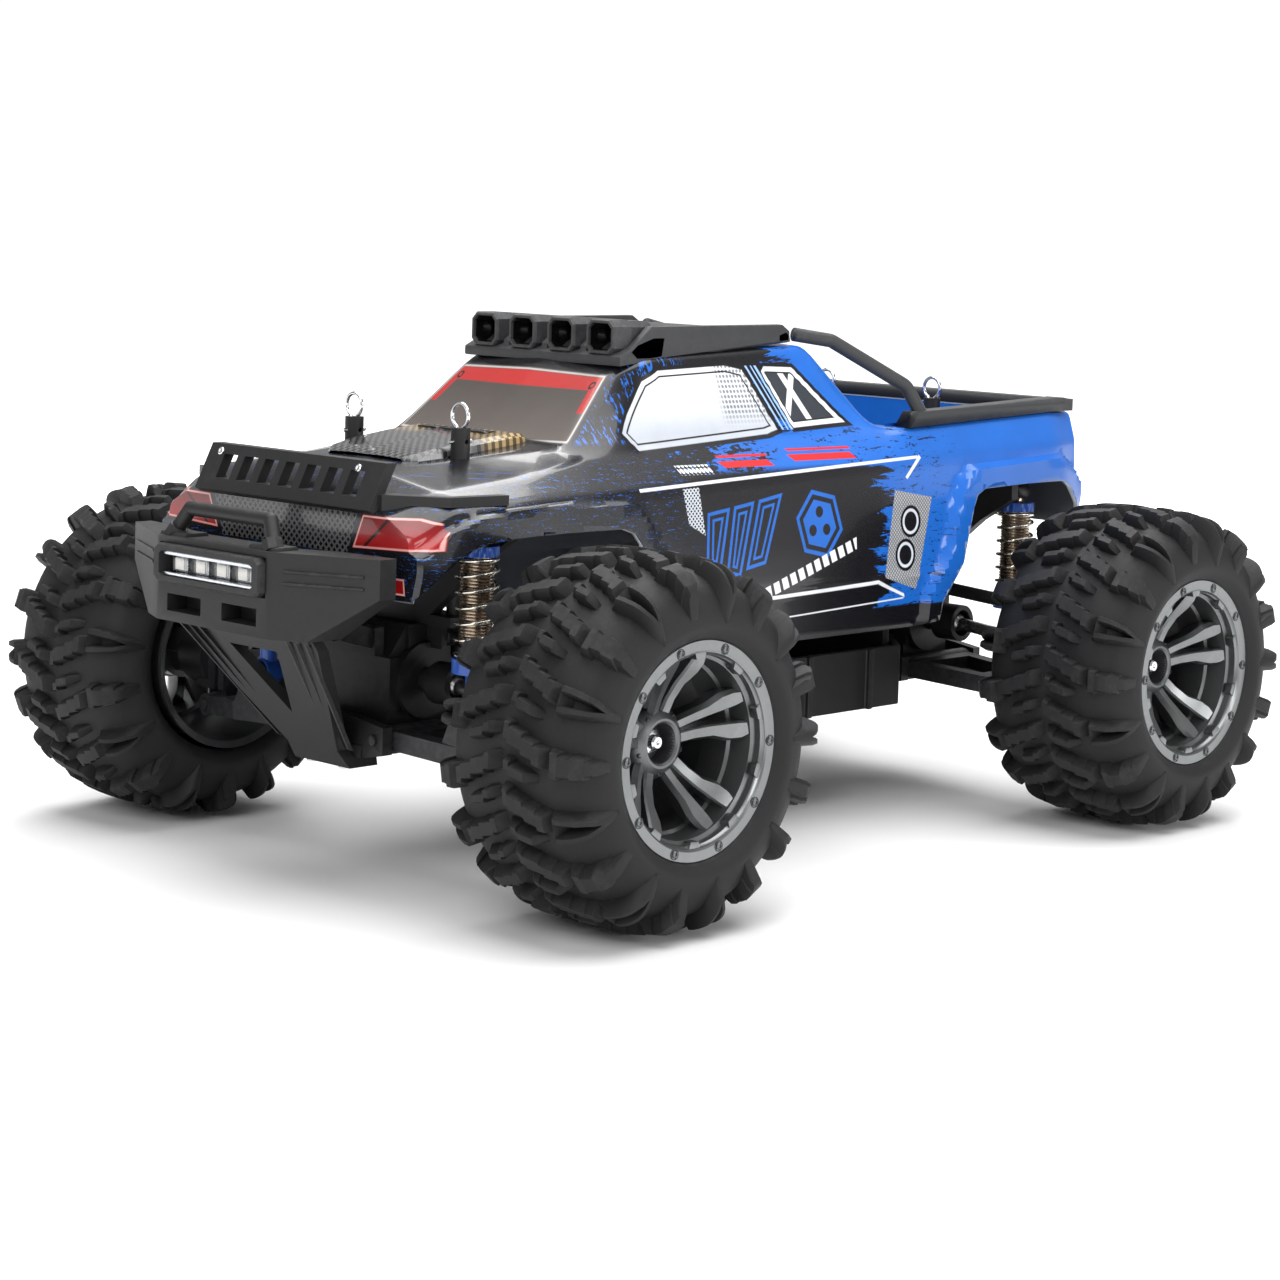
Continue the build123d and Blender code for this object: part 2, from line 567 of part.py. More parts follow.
def outdrive_cups():
    x = HALF_WHEELBASE
    face = GEARBOX_HALF_WIDTH + 1.5
    cup = rod_y(3.2, face, INNER_CUP_Y - 4, x, DRIVE_Z)
    cup += rod_y(CUP_R, INNER_CUP_Y - 5, INNER_CUP_Y + 2.6, x, DRIVE_Z)
    cup -= rod_y(CUP_BORE_R, INNER_CUP_Y - 3.8, INNER_CUP_Y + 4, x, DRIVE_Z)
    return both_sides(cup)


def shock_tower(post_x):
    """One shock tower with its studs and the two body posts, drawn for the front."""
    half = [(6, GEARBOX_TOP_Z), (GEARBOX_HALF_WIDTH, GEARBOX_TOP_Z), (33, 79), (44, 86), (44, 92),
            (36, 92), (24, 84), (10, 80)]
    outline = half + [(-y, z) for y, z in reversed(half)]
    tower = prism_x(outline, TOWER_X0, TOWER_X1)
    base_x0 = min(post_x - 4, TOWER_X0)
    tower += block(base_x0, TOWER_X1, -POST_Y - 3.6, POST_Y + 3.6, GEARBOX_TOP_Z, GEARBOX_TOP_Z + 2.5)
    for side in (1, -1):
        tower += rod_x(HINGE_PIN_R, TOWER_X1 - 1, SHOCK_X + 3.4, side * SHOCK_Y, SHOCK_TOP_Z)
    return tower


def body_post(x, side, collar_z, top_z):
    post = rod_z(POST_R, GEARBOX_TOP_Z + 1, top_z, x, side * POST_Y)
    post += rod_z(3.8, collar_z - 1.8, collar_z, x, side * POST_Y)
    return post - rod_y(0.6, side * POST_Y - 5, side * POST_Y + 5, x, top_z - 3.4)


def shock_towers():
    front = shock_tower(FRONT_POST_X)
    rear = mirror(shock_tower(-REAR_POST_X), about=Plane.YZ)
    for side in (1, -1):
        front += body_post(FRONT_POST_X, side, 101.4, 111.0)
        rear += body_post(REAR_POST_X, side, BED_FLOOR_Z - SHELL_WALL, 114.0)
    return group(front, rear)


def body_clips():
    """Four R-shaped wire clips through the body posts."""
    clips = []
    for x, top_z in ((FRONT_POST_X, 111.0), (REAR_POST_X, 114.0)):
        for side in (1, -1):
            y = side * POST_Y
            z = top_z - 3.4
            leg = rod_y(0.55, y - side * 4.5, y + side * 5.5, x, z)
            loop = Pos(x, y + side * 7.4, z) * Torus(2.2, 0.55)
            spine = rod_y(0.55, y - side * 3.5, y + side * 5.8, x + 2.2 + POST_R, z)
            clips.append(leg + loop + spine)
    return group(*clips)


def battery():
    pack = block(-38, 48, -TUB_HALF_WIDTH + TUB_WALL + 0.6, -7.8, TUB_Z0 + TUB_WALL, 50.0)
    return chamfer(pack.edges().filter_by(Axis.X), 1.5)


def speed_controller():
    case = block(-20, 28, 9.0, 27.0, TUB_Z0 + TUB_WALL, 43.0)
    for k in range(7):
        x = -16 + 6.4 * k
        case += block(x - 0.9, x + 0.9, 11.0, 25.0, 43.0, 46.0)
    return case


# ---- front end ----------------------------------------------------------------------
def front_bumper():
    """Bumper moulding with wings, hoop and its bracket to the front gearbox."""
    outline = [(156.6, 21), (144.5, 46.6), (139.6, 46.6), (141.5, 30), (146.0, 20)]
    outline += [(x, -y) for x, y in reversed(outline)]
    bumper = prism_z(outline, 63.5, 84.0)
    for cut in both_sides(prism_x([(30, 63.4), (48, 75.6), (48, 60), (30, 60)], 130, 160)):
        bumper -= cut
    bumper -= block(151.0, 170, -20.2, 20.2, 73.0, 82.5)
    for y in (-10.5, 10.5):
        bumper -= block(150.5, 170, y - 6.5, y + 6.5, 66.0, 70.2)
    for side in both_sides(prism_y([(112.5, 56), (146.5, 66), (146.5, 71), (112.5, 61)], 5, 9)):
        bumper += side
    bumper += block(110.6, 113.6, -10, 10, 54.5, 61.5)
    corners = [(153.2, 19.2, 84.2), (151.4, 15.2, 90.6)]
    for side in (1, -1):
        low = (corners[0][0], side * corners[0][1], corners[0][2])
        high = (corners[1][0], side * corners[1][1], corners[1][2])
        bumper += rod(1.8, low, high)
        bumper += Pos(*high) * Sphere(1.8)
    bumper += rod_y(1.8, -corners[1][1], corners[1][1], corners[1][0], corners[1][2])
    return bumper


def light_bar():
    """Lamp bar frame, its lens and four lamps."""
    frame = block(151.0, FRONT_X, -20.1, 20.1, 73.1, 82.4)
    frame -= block(152.6, FRONT_X + 1, -17.2, 17.2, 74.6, 80.9)
    lens = block(FRONT_X - 1.6, FRONT_X - 0.5, -17.2, 17.2, 74.6, 80.9)
    lamps = []
    for k in range(4):
        y = -12.9 + 8.6 * k
        lamps.append(rod_x(2.4, 152.6, 155.6, y, 77.75))
    return group(frame, lens, *lamps)


def skid_plate():
    """Ribbed V-shaped plate from the bumper down to the gearbox's underside."""
    slope = [(147.6, 63.5), (144.2, 63.5), (119.0, 30.0), (112.0, 30.0), (112.0, 27.4), (121.0, 27.4)]
    plate = prism_y(slope, -26, 26)
    for cut in both_sides(prism_x([(27, 62), (27, 20), (12, 20), (9.5, 32)], 100, 160)):
        plate -= cut
    hole = [(-9, 58), (9, 58), (0, 41)]
    plate -= prism_x(hole, 100, 160)
    for y in (-14, 14):
        plate += prism_y([(144.6, 63.4), (142.0, 63.4), (130.0, 47.0), (131.8, 47.0)], y - 0.9, y + 0.9)
    return plate


def grille_guard():
    """Hood guard with seven slots and two side arms."""
    section = [(134.4, 92.2), (136.6, 93.6), (131.2, 104.6), (128.0, 104.6)]
    guard = prism_y(section, -33, 33)
    for k in range(7):
        y = -24 + 8.0 * k
        guard -= prism_x([(y - 2.6, 96.4), (y + 2.6, 96.4), (y + 2.6, 102.2), (y - 2.6, 102.2)], 120, 145)
    arm = [(133.5, 31), (133.5, 34), (124, 47.6), (107, 49.4), (107, 46.4), (123, 44.4), (129, 31)]
    for side in both_sides(prism_z(arm, 93.6, 97.4)):
        guard += side
    return guard - body_block(0)


# ---- body ---------------------------------------------------------------------------
# each station: x, then half-section points (y, z) from the sill up to the centre line
BODY_STATIONS = [
    (134.0, [(45.0, 73.0), (47.0, 80.0), (46.0, 88.0), (38.0, 92.5), (22.0, 94.5), (0.0, 95.0)]),
    (124.0, [(49.0, 60.0), (50.0, 80.0), (49.5, 94.0), (42.0, 98.0), (22.0, 101.0), (0.0, 101.6)]),
    (96.0, [(49.5, 54.0), (50.2, 76.0), (49.5, 95.4), (41.0, 100.4), (22.0, 103.6), (0.0, 104.2)]),
    (71.0, [(49.5, 54.0), (51.0, 69.0), (49.4, 96.2), (38.5, 103.6), (32.0, 106.2), (0.0, 107.4)]),
    (51.0, [(49.5, 54.0), (51.4, 69.0), (49.2, 97.0), (38.5, 104.6), (27.0, 124.4), (0.0, 126.2)]),
    (42.0, [(49.5, 54.0), (51.4, 69.0), (49.0, 97.4), (38.6, 105.0), (29.6, 127.6), (0.0, 129.6)]),
    (-20.0, [(49.5, 54.0), (51.4, 69.0), (48.8, 99.8), (39.6, 108.4), (30.4, 130.6), (0.0, 132.0)]),
    (-31.0, [(49.5, 54.0), (51.2, 68.0), (48.8, 100.2), (40.6, 109.0), (33.4, 119.6), (0.0, 120.6)]),
    (-38.0, [(49.5, 54.0), (51.0, 67.0), (48.8, 100.4), (42.5, 108.4), (39.0, 109.4), (0.0, 110.0)]),
    (-48.0, [(49.5, 54.0), (50.8, 66.0), (48.8, 100.8), (45.6, 108.2), (39.0, 108.4), (0.0, 108.4)]),
    (-112.0, [(49.5, 58.0), (50.2, 76.0), (49.0, 102.6), (45.6, 111.0), (39.0, 111.2), (0.0, 111.2)]),
    (-124.0, [(45.0, 78.0), (47.0, 86.0), (46.4, 102.8), (44.0, 110.6), (39.0, 111.2), (0.0, 111.2)]),
]
FRONT_ARCH = [(134.6, 50), (134.6, 74.0), (129.5, 79.6), (116.0, 86.2), (90.0, 87.4), (71.0, 87.6),
              (64.5, 83.4), (54.0, 56.0), (53.6, 50)]
REAR_ARCH = [(-55.5, 50), (-57.0, 60.6), (-65.0, 71.0), (-69.7, 88.0), (-75.0, 91.0), (-113.8, 91.6),
             (-122.0, 84.0), (-126.0, 77.4), (-126.0, 50)]


def body_block(inset):
    """The body's outer form, or its inner form when inset is above zero."""
    sections = []
    last = len(BODY_STATIONS) - 1
    for k, (x, half) in enumerate(BODY_STATIONS):
        station_x = x
        if k == 0:
            station_x = x - inset
        if k == last:
            station_x = x + inset
        points = []
        for i, (y, z) in enumerate(half):
            sill = i == 0
            points.append((max(y - inset, 0.0), z - (2.5 if sill and inset else inset)))
        mirrored = [(-y, z) for y, z in reversed(points[:-1])]
        outline = [(station_x, y, z) for y, z in points + mirrored]
        sections.append(make_face(Polyline(outline, close=True)))
    return loft(sections, ruled=True)


def body_shell():
    """Thin moulded pickup shell: hood, cab, bed pocket and cut wheel arches."""
    bed_outer = block(BED_X0 - SHELL_WALL, BED_X1 + SHELL_WALL, -BED_HALF_WIDTH - SHELL_WALL,
                      BED_HALF_WIDTH + SHELL_WALL, BED_FLOOR_Z - SHELL_WALL, 140)
    bed = block(BED_X0, BED_X1, -BED_HALF_WIDTH, BED_HALF_WIDTH, BED_FLOOR_Z, 140)
    outer = body_block(0)
    inner = body_block(SHELL_WALL)
    shell = outer - (inner - bed_outer) - bed
    shell -= prism_y(FRONT_ARCH, -60, 60)
    shell -= prism_y(REAR_ARCH, -60, 60)
    scoop = prism_y([(110.0, 101.0), (108.0, 105.2), (78.0, 109.0), (72.0, 106.0)], -19, 19)
    scoop -= inner
    shell += scoop
    for x, side in ((FRONT_POST_X, 1), (FRONT_POST_X, -1), (REAR_POST_X, 1), (REAR_POST_X, -1)):
        shell -= rod_z(POST_R + 0.6, 85, 125, x, side * POST_Y)
    return shell


def roof_rack():
    """Roof tray with three ribs, two side rails and a row of four lamp tubes."""
    slope = [(50.0, 125.6), (50.0, 128.5), (40.0, 132.0), (-14.0, 133.4), (-16.0, 131.4), (40.0, 127.6)]
    base = prism_y(slope, -29.2, 29.2)
    base -= block(-12, 34, -25.5, 25.5, 120, 140)
    for x in (-4, 10, 24):
        base += block(x - 1.6, x + 1.6, -26, 26, 131.2, 134.6)
    for side in both_sides(block(-13, 36, 26.4, 29.2, 131.0, 136.2)):
        base += side
    for y in (-21.6, -7.2, 7.2, 21.6):
        lamp = prism_x([(y - 6.4, 129.4), (y - 6.4, 135.0), (y - 4.2, TOP_Z), (y + 4.2, TOP_Z),
                        (y + 6.4, 135.0), (y + 6.4, 129.4), (y + 4.2, 127.2), (y - 4.2, 127.2)], 35, 49.5)
        base += lamp
    for y in (-21.6, -7.2, 7.2, 21.6):
        base -= block(45.5, 60, y - 4.6, y + 4.6, 129.2, 136.2)
    return base - body_block(0)


def roll_bar():
    """Two bent bars from the roof down to a U-shaped rail round the bed."""
    side_rail = prism_y([(-47.5, 108.5), (-51.0, 112.6), (-118.0, 115.2), (-121.5, 114.6), (-121.5, 111.25),
                         (-112.0, 111.25)], 40.6, 46.4)
    rails = side_rail + mirror(side_rail, about=Plane.XZ)
    rails += block(-122.6, -117.0, -46.4, 46.4, 111.25, 114.7)
    corners = [(-19.0, 27.5, 133.4), (-30.0, 31.5, 131.8), (-52.0, 40.5, 119.5), (-56.0, 43.0, 111.9)]
    path = FilletPolyline(*corners, radius=4.0)
    bar = sweep(Plane(origin=path @ 0, z_dir=path % 0) * Circle(1.9), path=path)
    for side in both_sides(bar):
        rails += side
    return rails


# ---- assembly -----------------------------------------------------------------------
CORNERS = {"front_left": (1, 1), "front_right": (1, -1), "rear_left": (-1, 1), "rear_right": (-1, -1)}


def corner_nodes():
    pieces = {
        "tyre": tyre(),
        "rim": group(*wheel_disc(), *stub_axle()),
        "lower_arm": group(*lower_arm()),
        "upper_link": upper_link(),
        "shock_body": shock_body(),
        "shock_rod": shock_rod(),
        "shock_spring": spring(),
        "driveshaft": driveshaft(),
    }
    nodes = {}
    for where, (fore, side) in CORNERS.items():
        for name, piece in pieces.items():
            nodes[name + "_" + where] = corner(piece, fore, side)
    hubs = {"c_hub": (c_hub(), 1), "knuckle": (group(*knuckle()), 1), "rear_hub": (group(*rear_hub()), -1)}
    for name, (piece, fore) in hubs.items():
        nodes[name + "_left"] = corner(piece, fore, 1)
        nodes[name + "_right"] = corner(piece, fore, -1)
    rod_piece = tie_rod()
    nodes["tie_rod_left"] = rod_piece
    nodes["tie_rod_right"] = corner(rod_piece, 1, -1)
    return nodes


def centre_nodes():
    housings = []
    for fore in (1, -1):
        housings.append(corner(gearbox_housing(), fore, 1))
        housings.extend(corner(cup, fore, 1) for cup in outdrive_cups())
    return {
        "steering_link": steering_link(),
        "servo_arm": servo_arm(),
        "centre_shaft": centre_shaft(),
        "spur_gear": spur_gear(),
        "motor_pinion": motor_pinion(),
        "motor": motor(),
        "chassis_tub": chassis_tub(),
        "gearbox_housings": group(*housings),
        "shock_towers": shock_towers(),
        "steering_servo": group(*steering_servo()),
        "battery_pack": battery(),
        "speed_controller": speed_controller(),
        "front_bumper": front_bumper(),
        "light_bar": light_bar(),
        "skid_plate": skid_plate(),
        "grille_guard": grille_guard(),
        "body_shell": body_shell(),
        "roof_rack": roof_rack(),
        "roll_bar": roll_bar(),
        "body_clips": body_clips(),
    }


def main():
    os.makedirs("parts", exist_ok=True)
    nodes = corner_nodes()
    nodes.update(centre_nodes())
    for name, shape in nodes.items():
        solids = [Pos(X_SHIFT, 0, 0) * solid for solid in shape.solids()]
        export_step(Compound(solids), f"parts/{name}.step")
    print(len(nodes), "nodes")


if __name__ == "__main__":
    main()
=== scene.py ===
import math

import bmesh
import bpy
from bpy.props import FloatProperty, FloatVectorProperty, IntProperty, PointerProperty
from mathutils import Matrix, Vector


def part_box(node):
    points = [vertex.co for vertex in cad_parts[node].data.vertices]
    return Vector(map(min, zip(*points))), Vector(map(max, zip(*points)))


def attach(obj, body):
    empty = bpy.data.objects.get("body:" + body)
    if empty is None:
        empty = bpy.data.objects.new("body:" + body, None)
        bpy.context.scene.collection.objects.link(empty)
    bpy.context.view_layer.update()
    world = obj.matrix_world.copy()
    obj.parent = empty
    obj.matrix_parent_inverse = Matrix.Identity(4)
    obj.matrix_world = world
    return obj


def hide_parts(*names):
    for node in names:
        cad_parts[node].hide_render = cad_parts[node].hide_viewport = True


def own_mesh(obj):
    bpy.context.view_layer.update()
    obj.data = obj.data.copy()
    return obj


bl_info = {
    "name": "RC Monster Truck Builder",
    "version": (1, 0, 0),
    "blender": (4, 5, 0),
    "location": "3D View > Sidebar > Truck",
    "description": "Builds the looks of an RC monster truck around its packed frame",
    "category": "Object",
}

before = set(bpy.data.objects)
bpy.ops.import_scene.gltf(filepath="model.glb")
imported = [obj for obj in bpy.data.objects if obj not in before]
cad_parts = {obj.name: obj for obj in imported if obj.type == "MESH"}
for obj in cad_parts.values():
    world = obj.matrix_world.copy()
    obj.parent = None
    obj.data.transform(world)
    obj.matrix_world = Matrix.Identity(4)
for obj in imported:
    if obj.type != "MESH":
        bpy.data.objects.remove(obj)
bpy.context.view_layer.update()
MM = 0.001
# Each wheel's corner: 1 at the front or -1 at the rear, then 1 on the left or -1 on the right.
CORNERS = {
    "front_left": (1, 1),
    "front_right": (1, -1),
    "rear_left": (-1, 1),
    "rear_right": (-1, -1),
}


def box_mm(node):
    """Lowest and highest corner of a CAD node, in millimetres."""
    low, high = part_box(node)
    return low / MM, high / MM


def centre_mm(node):
    """Middle of a CAD node's box, in millimetres."""
    low, high = box_mm(node)
    return (low + high) / 2


RIM_FRONT = centre_mm("rim_front_left")
RIM_REAR = centre_mm("rim_rear_left")
MID_X = (RIM_FRONT.x + RIM_REAR.x) / 2
HALF_BASE = (RIM_FRONT.x - RIM_REAR.x) / 2
AXLE_Z = RIM_FRONT.z
TYRE_LOW, TYRE_HIGH = box_mm("tyre_front_left")
WHEEL_Y = (TYRE_LOW.y + TYRE_HIGH.y) / 2
TYRE_R = (TYRE_HIGH.z - TYRE_LOW.z) / 2
RIM_BOLT_HEIGHT = 0.6
RIM_FACE = box_mm("rim_front_left")[1].y - WHEEL_Y - RIM_BOLT_HEIGHT


def at(x, y, z):
    """A point given about the middle of the wheelbase, in millimetres, in the row frame."""
    return Vector(((x + MID_X) * MM, y * MM, z * MM))


# ---- settings -------------------------------------------------------------------------


class TruckSizes(bpy.types.PropertyGroup):
    """Sizes that the build steps read"""

    lug_pitches: IntProperty(
        name="Lug pitches", description="Tread repeats round each tyre", default=18, min=8, max=30
    )
    flare_height: FloatProperty(
        name="Flare height",
        description="How far the wheel arch flares stand out from the body, in millimetres",
        default=2.6,
        min=0.0,
        max=4.0,
    )


def colour_property(name, description, default):
    return FloatVectorProperty(
        name=name, description=description, default=default, subtype="COLOR", min=0.0, max=1.0
    )


class TruckColours(bpy.types.PropertyGroup):
    """Base colours of the paint, rubber and plastics"""

    body_blue: colour_property("Body blue", "Royal blue of the rear body", (0.012, 0.125, 0.52))
    body_black: colour_property("Body black", "Black of the front body", (0.006, 0.006, 0.008))
    lamp_red: colour_property("Lamp red", "Printed head and fog lamps", (0.341, 0.0074, 0.0093))
    rubber: colour_property("Rubber", "Tyres", (0.011, 0.011, 0.012))
    rim: colour_property("Rims", "Satin titanium rims", (0.15, 0.155, 0.156))
    moulding: colour_property("Moulding", "Bumper, guard and rack plastic", (0.012, 0.012, 0.013))


def sizes():
    return bpy.context.scene.truck_sizes


def colours():
    return bpy.context.scene.truck_colours


# ---- shader graphs --------------------------------------------------------------------


class Graph:
    """Short calls that add nodes to one node tree."""

    def __init__(self, tree):
        self.tree = tree

    def node(self, kind, **settings):
        made = self.tree.nodes.new(kind)
        for key, value in settings.items():
            setattr(made, key, value)
        return made

    def put(self, socket, value):
        if isinstance(value, bpy.types.NodeSocket):
            self.tree.links.new(value, socket)
        elif value is not None:
            if socket.type == "RGBA" and len(value) == 3:
                value = (*value, 1.0)
            socket.default_value = value

    def math(self, operation, *values, clamp=False):
        made = self.node("ShaderNodeMath", operation=operation, use_clamp=clamp)
        for socket, value in zip(made.inputs, values):
            self.put(socket, value)
        return made.outputs[0]

    def choose(self, kind, factor, a, b):
        made = self.node("ShaderNodeMix", data_type=kind)
        for key, given in (("Factor", factor), ("A", a), ("B", b)):
            self.put(made.inputs[key], given)
        return made.outputs["Result"]

    def mix(self, factor, a, b):
        return self.choose("RGBA", factor, a, b)

    def blend(self, factor, a, b):
        return self.choose("FLOAT", factor, a, b)

    def ramp(self, value, low, high, out_low=0.0, out_high=1.0):
        made = self.node("ShaderNodeMapRange", interpolation_type="SMOOTHSTEP")
        for key, given in (
            ("Value", value),
            ("From Min", low),
            ("From Max", high),
            ("To Min", out_low),
            ("To Max", out_high),
        ):
            self.put(made.inputs[key], given)
        return made.outputs["Result"]

    def noise(self, vector, scale, detail=3.0, roughness=0.55, distortion=0.0):
        made = self.node("ShaderNodeTexNoise")
        for key, given in (
            ("Vector", vector),
            ("Scale", scale),
            ("Detail", detail),
            ("Roughness", roughness),
            ("Distortion", distortion),
        ):
            self.put(made.inputs[key], given)
        return made.outputs["Fac"]

    def split(self, vector):
        made = self.node("ShaderNodeSeparateXYZ")
        self.put(made.inputs[0], vector)
        return made.outputs

    def join(self, x, y, z):
        made = self.node("ShaderNodeCombineXYZ")
        for socket, value in zip(made.inputs, (x, y, z)):
            self.put(socket, value)
        return made.outputs[0]

    def where(self):
        return self.node("ShaderNodeTexCoord").outputs["Object"]

    def joined(self, operation, masks):
        result = masks[0]
        for mask in masks[1:]:
            result = self.math(operation, result, mask)
        return result

    def all_of(self, *masks):
        return self.joined("MULTIPLY", masks)

    def any_of(self, *masks):
        return self.joined("MAXIMUM", masks)

    def above(self, value, limit, soft=0.15):
        return self.ramp(value, limit - soft, limit + soft)

    def below(self, value, limit, soft=0.15):
        return self.ramp(value, limit - soft, limit + soft, 1.0, 0.0)

    def call(self, group, **values):
        made = self.node("ShaderNodeGroup", node_tree=group)
        for key, value in values.items():
            self.put(made.inputs[key.replace("_", " ")], value)
        return made.outputs


def shader_group(name, inputs, outputs):
    """An empty node group with named sockets, its graph and its two end nodes."""
    tree = bpy.data.node_groups.new(name, "ShaderNodeTree")
    for socket_name, kind, default in inputs:
        made = tree.interface.new_socket(socket_name, in_out="INPUT", socket_type=kind)
        if default is not None:
            made.default_value = default
    for socket_name, kind in outputs:
        tree.interface.new_socket(socket_name, in_out="OUTPUT", socket_type=kind)
    graph = Graph(tree)
    return tree, graph, graph.node("NodeGroupInput").outputs, graph.node("NodeGroupOutput").inputs


FLOAT = "NodeSocketFloat"
COLOUR = "NodeSocketColor"
VECTOR = "NodeSocketVector"
GROUPS = {}


def group(name):
    """A shared node group, made the first time it is asked for."""
    if name not in GROUPS:
        GROUPS[name] = GROUP_MAKERS[name]()
    return GROUPS[name]


def make_finish_group():
    """Colour drift, wear on edges, dust on upward faces and fine grain."""
    tree, g, given, out = shader_group(
        "moulded_finish",
        [
            ("Base", COLOUR, (0.5, 0.5, 0.5, 1)),
            ("Worn", COLOUR, (0.6, 0.6, 0.6, 1)),
            ("Drift", FLOAT, 0.15),
            ("Wear", FLOAT, 0.3),
            ("Dust", FLOAT, 0.1),
            ("Roughness", FLOAT, 0.4),
            ("Grain Scale", FLOAT, 2500.0),
        ],
        [("Color", COLOUR), ("Roughness", FLOAT), ("Height", FLOAT)],
    )
    where = g.where()
    geometry = g.node("ShaderNodeNewGeometry")
    broad = g.noise(where, 45.0, 4.0)
    fine = g.noise(where, given["Grain Scale"], 3.0, 0.6)
    streak = g.noise(where, 420.0, 5.0, 0.7)
    amount = g.math("MULTIPLY", g.math("SUBTRACT", broad, 0.5), given["Drift"])
    hsv = g.node("ShaderNodeHueSaturation")
    g.put(hsv.inputs["Color"], given["Base"])
    g.put(hsv.inputs["Value"], g.math("ADD", 1.0, g.math("MULTIPLY", amount, 3.0)))
    edge = g.ramp(geometry.outputs["Pointiness"], 0.52, 0.62)
    edge = g.all_of(edge, g.ramp(streak, 0.35, 0.7), given["Wear"])
    worn = g.mix(edge, hsv.outputs["Color"], given["Worn"])
    upward = g.ramp(g.split(geometry.outputs["Normal"])[2], 0.3, 1.0)
    dust = g.all_of(upward, g.ramp(streak, 0.4, 0.75), given["Dust"])
    g.put(out["Color"], g.mix(dust, worn, (0.32, 0.30, 0.28)))
    rough = g.math("ADD", given["Roughness"], g.math("MULTIPLY", amount, 0.8))
    rough = g.math("ADD", rough, g.math("MULTIPLY", dust, 0.3))
    g.put(out["Roughness"], g.math("SUBTRACT", rough, g.math("MULTIPLY", edge, 0.08), clamp=True))
    g.put(out["Height"], g.math("ADD", fine, g.math("MULTIPLY", streak, 0.4)))
    return tree


def make_scratch_group():
    """Fine directional scratches for plated and turned metal."""
    tree, g, given, out = shader_group(
        "metal_scratches",
        [("Along", VECTOR, None), ("Scale", FLOAT, 900.0), ("Amount", FLOAT, 0.2)],
        [("Mask", FLOAT), ("Height", FLOAT)],
    )
    stretched = g.node("ShaderNodeVectorMath", operation="MULTIPLY")
    g.put(stretched.inputs[0], g.where())
    g.put(stretched.inputs[1], given["Along"])
    lines = g.noise(stretched.outputs[0], given["Scale"], 6.0, 0.65)
    g.put(out["Mask"], g.math("MULTIPLY", g.ramp(lines, 0.45, 0.72), given["Amount"]))
    g.put(out["Height"], lines)
    return tree


def make_place_group():
    """Position on the truck in millimetres about the middle of the wheelbase."""
    tree, g, _, out = shader_group(
        "truck_place", [], [("X", FLOAT), ("Y", FLOAT), ("Z", FLOAT), ("Side", FLOAT)]
    )
    x, y, z = g.split(g.where())[:3]
    g.put(out["X"], g.math("SUBTRACT", g.math("MULTIPLY", x, 1000.0), MID_X))
    g.put(out["Y"], g.math("ABSOLUTE", g.math("MULTIPLY", y, 1000.0)))
    g.put(out["Z"], g.math("MULTIPLY", z, 1000.0))
    g.put(out["Side"], g.math("SIGN", y))
    return tree


def make_splatter_group():
    """Torn paint splatter, stretched along the truck."""
    tree, g, given, out = shader_group(
        "paint_splatter",
        [("X", FLOAT, 0.0), ("Z", FLOAT, 0.0), ("Size", FLOAT, 1.0), ("Amount", FLOAT, 0.5)],
        [("Mask", FLOAT), ("Tear", FLOAT)],
    )
    size = given["Size"]
    u = g.math("MULTIPLY", g.math("MULTIPLY", given["X"], 0.055), size)
    v = g.math("MULTIPLY", g.math("MULTIPLY", given["Z"], 0.35), size)
    place = g.join(u, v, 0.0)
    torn = g.noise(place, 1.0, 7.0, 0.72, 0.6)
    drops = g.noise(g.join(g.math("MULTIPLY", u, 3.0), v, 4.0), 2.2, 3.0, 0.6)
    both = g.math("ADD", g.math("MULTIPLY", torn, 0.65), g.math("MULTIPLY", drops, 0.35))
    limit = g.math("SUBTRACT", 0.72, g.math("MULTIPLY", given["Amount"], 0.42))
    soft = 0.012
    g.put(out["Mask"], g.ramp(both, g.math("SUBTRACT", limit, soft), g.math("ADD", limit, soft)))
    g.put(out["Tear"], g.math("SUBTRACT", torn, 0.5))
    return tree


GROUP_MAKERS = {
    "finish": make_finish_group,
    "scratches": make_scratch_group,
    "place": make_place_group,
    "splatter": make_splatter_group,
}


def new_material(name, viewport):
    """A material with its graph and the inputs of its shader."""
    made = bpy.data.materials.new(name)
    made.use_nodes = True
    made.diffuse_color = (*viewport, 1.0)
    return made, Graph(made.node_tree), made.node_tree.nodes["Principled BSDF"].inputs


def set_constants(shader, values):
    for socket, value in values.items():
        shader[socket].default_value = value


def add_bump(g, shader, height, distance, strength=1.0):
    bump = g.node("ShaderNodeBump")
    g.put(bump.inputs["Height"], height)
    set_constants(bump.inputs, {"Distance": distance, "Strength": strength})
    g.put(shader["Normal"], bump.outputs["Normal"])


def moulded(name, base, roughness, grain=2500.0, depth=2e-5, wear=0.35, dust=0.05,
            metallic=0.0, coat=0.0, specular=0.35):
    """Plastic, rubber or satin alloy with the shared finish."""
    made, g, shader = new_material(name, base)
    worn = tuple(min(1.0, c * 1.8 + 0.03) for c in base)
    finish = g.call(
        group("finish"), Base=(*base, 1.0), Worn=(*worn, 1.0), Drift=0.15, Wear=wear, Dust=dust,
        Roughness=roughness, Grain_Scale=grain,
    )
    g.put(shader["Base Color"], finish["Color"])
    g.put(shader["Roughness"], finish["Roughness"])
    set_constants(shader, {
        "Metallic": metallic, "Coat Weight": coat, "Coat Roughness": 0.06, "Specular IOR Level": specular,
    })
    add_bump(g, shader, finish["Height"], depth, 0.6)
    return made


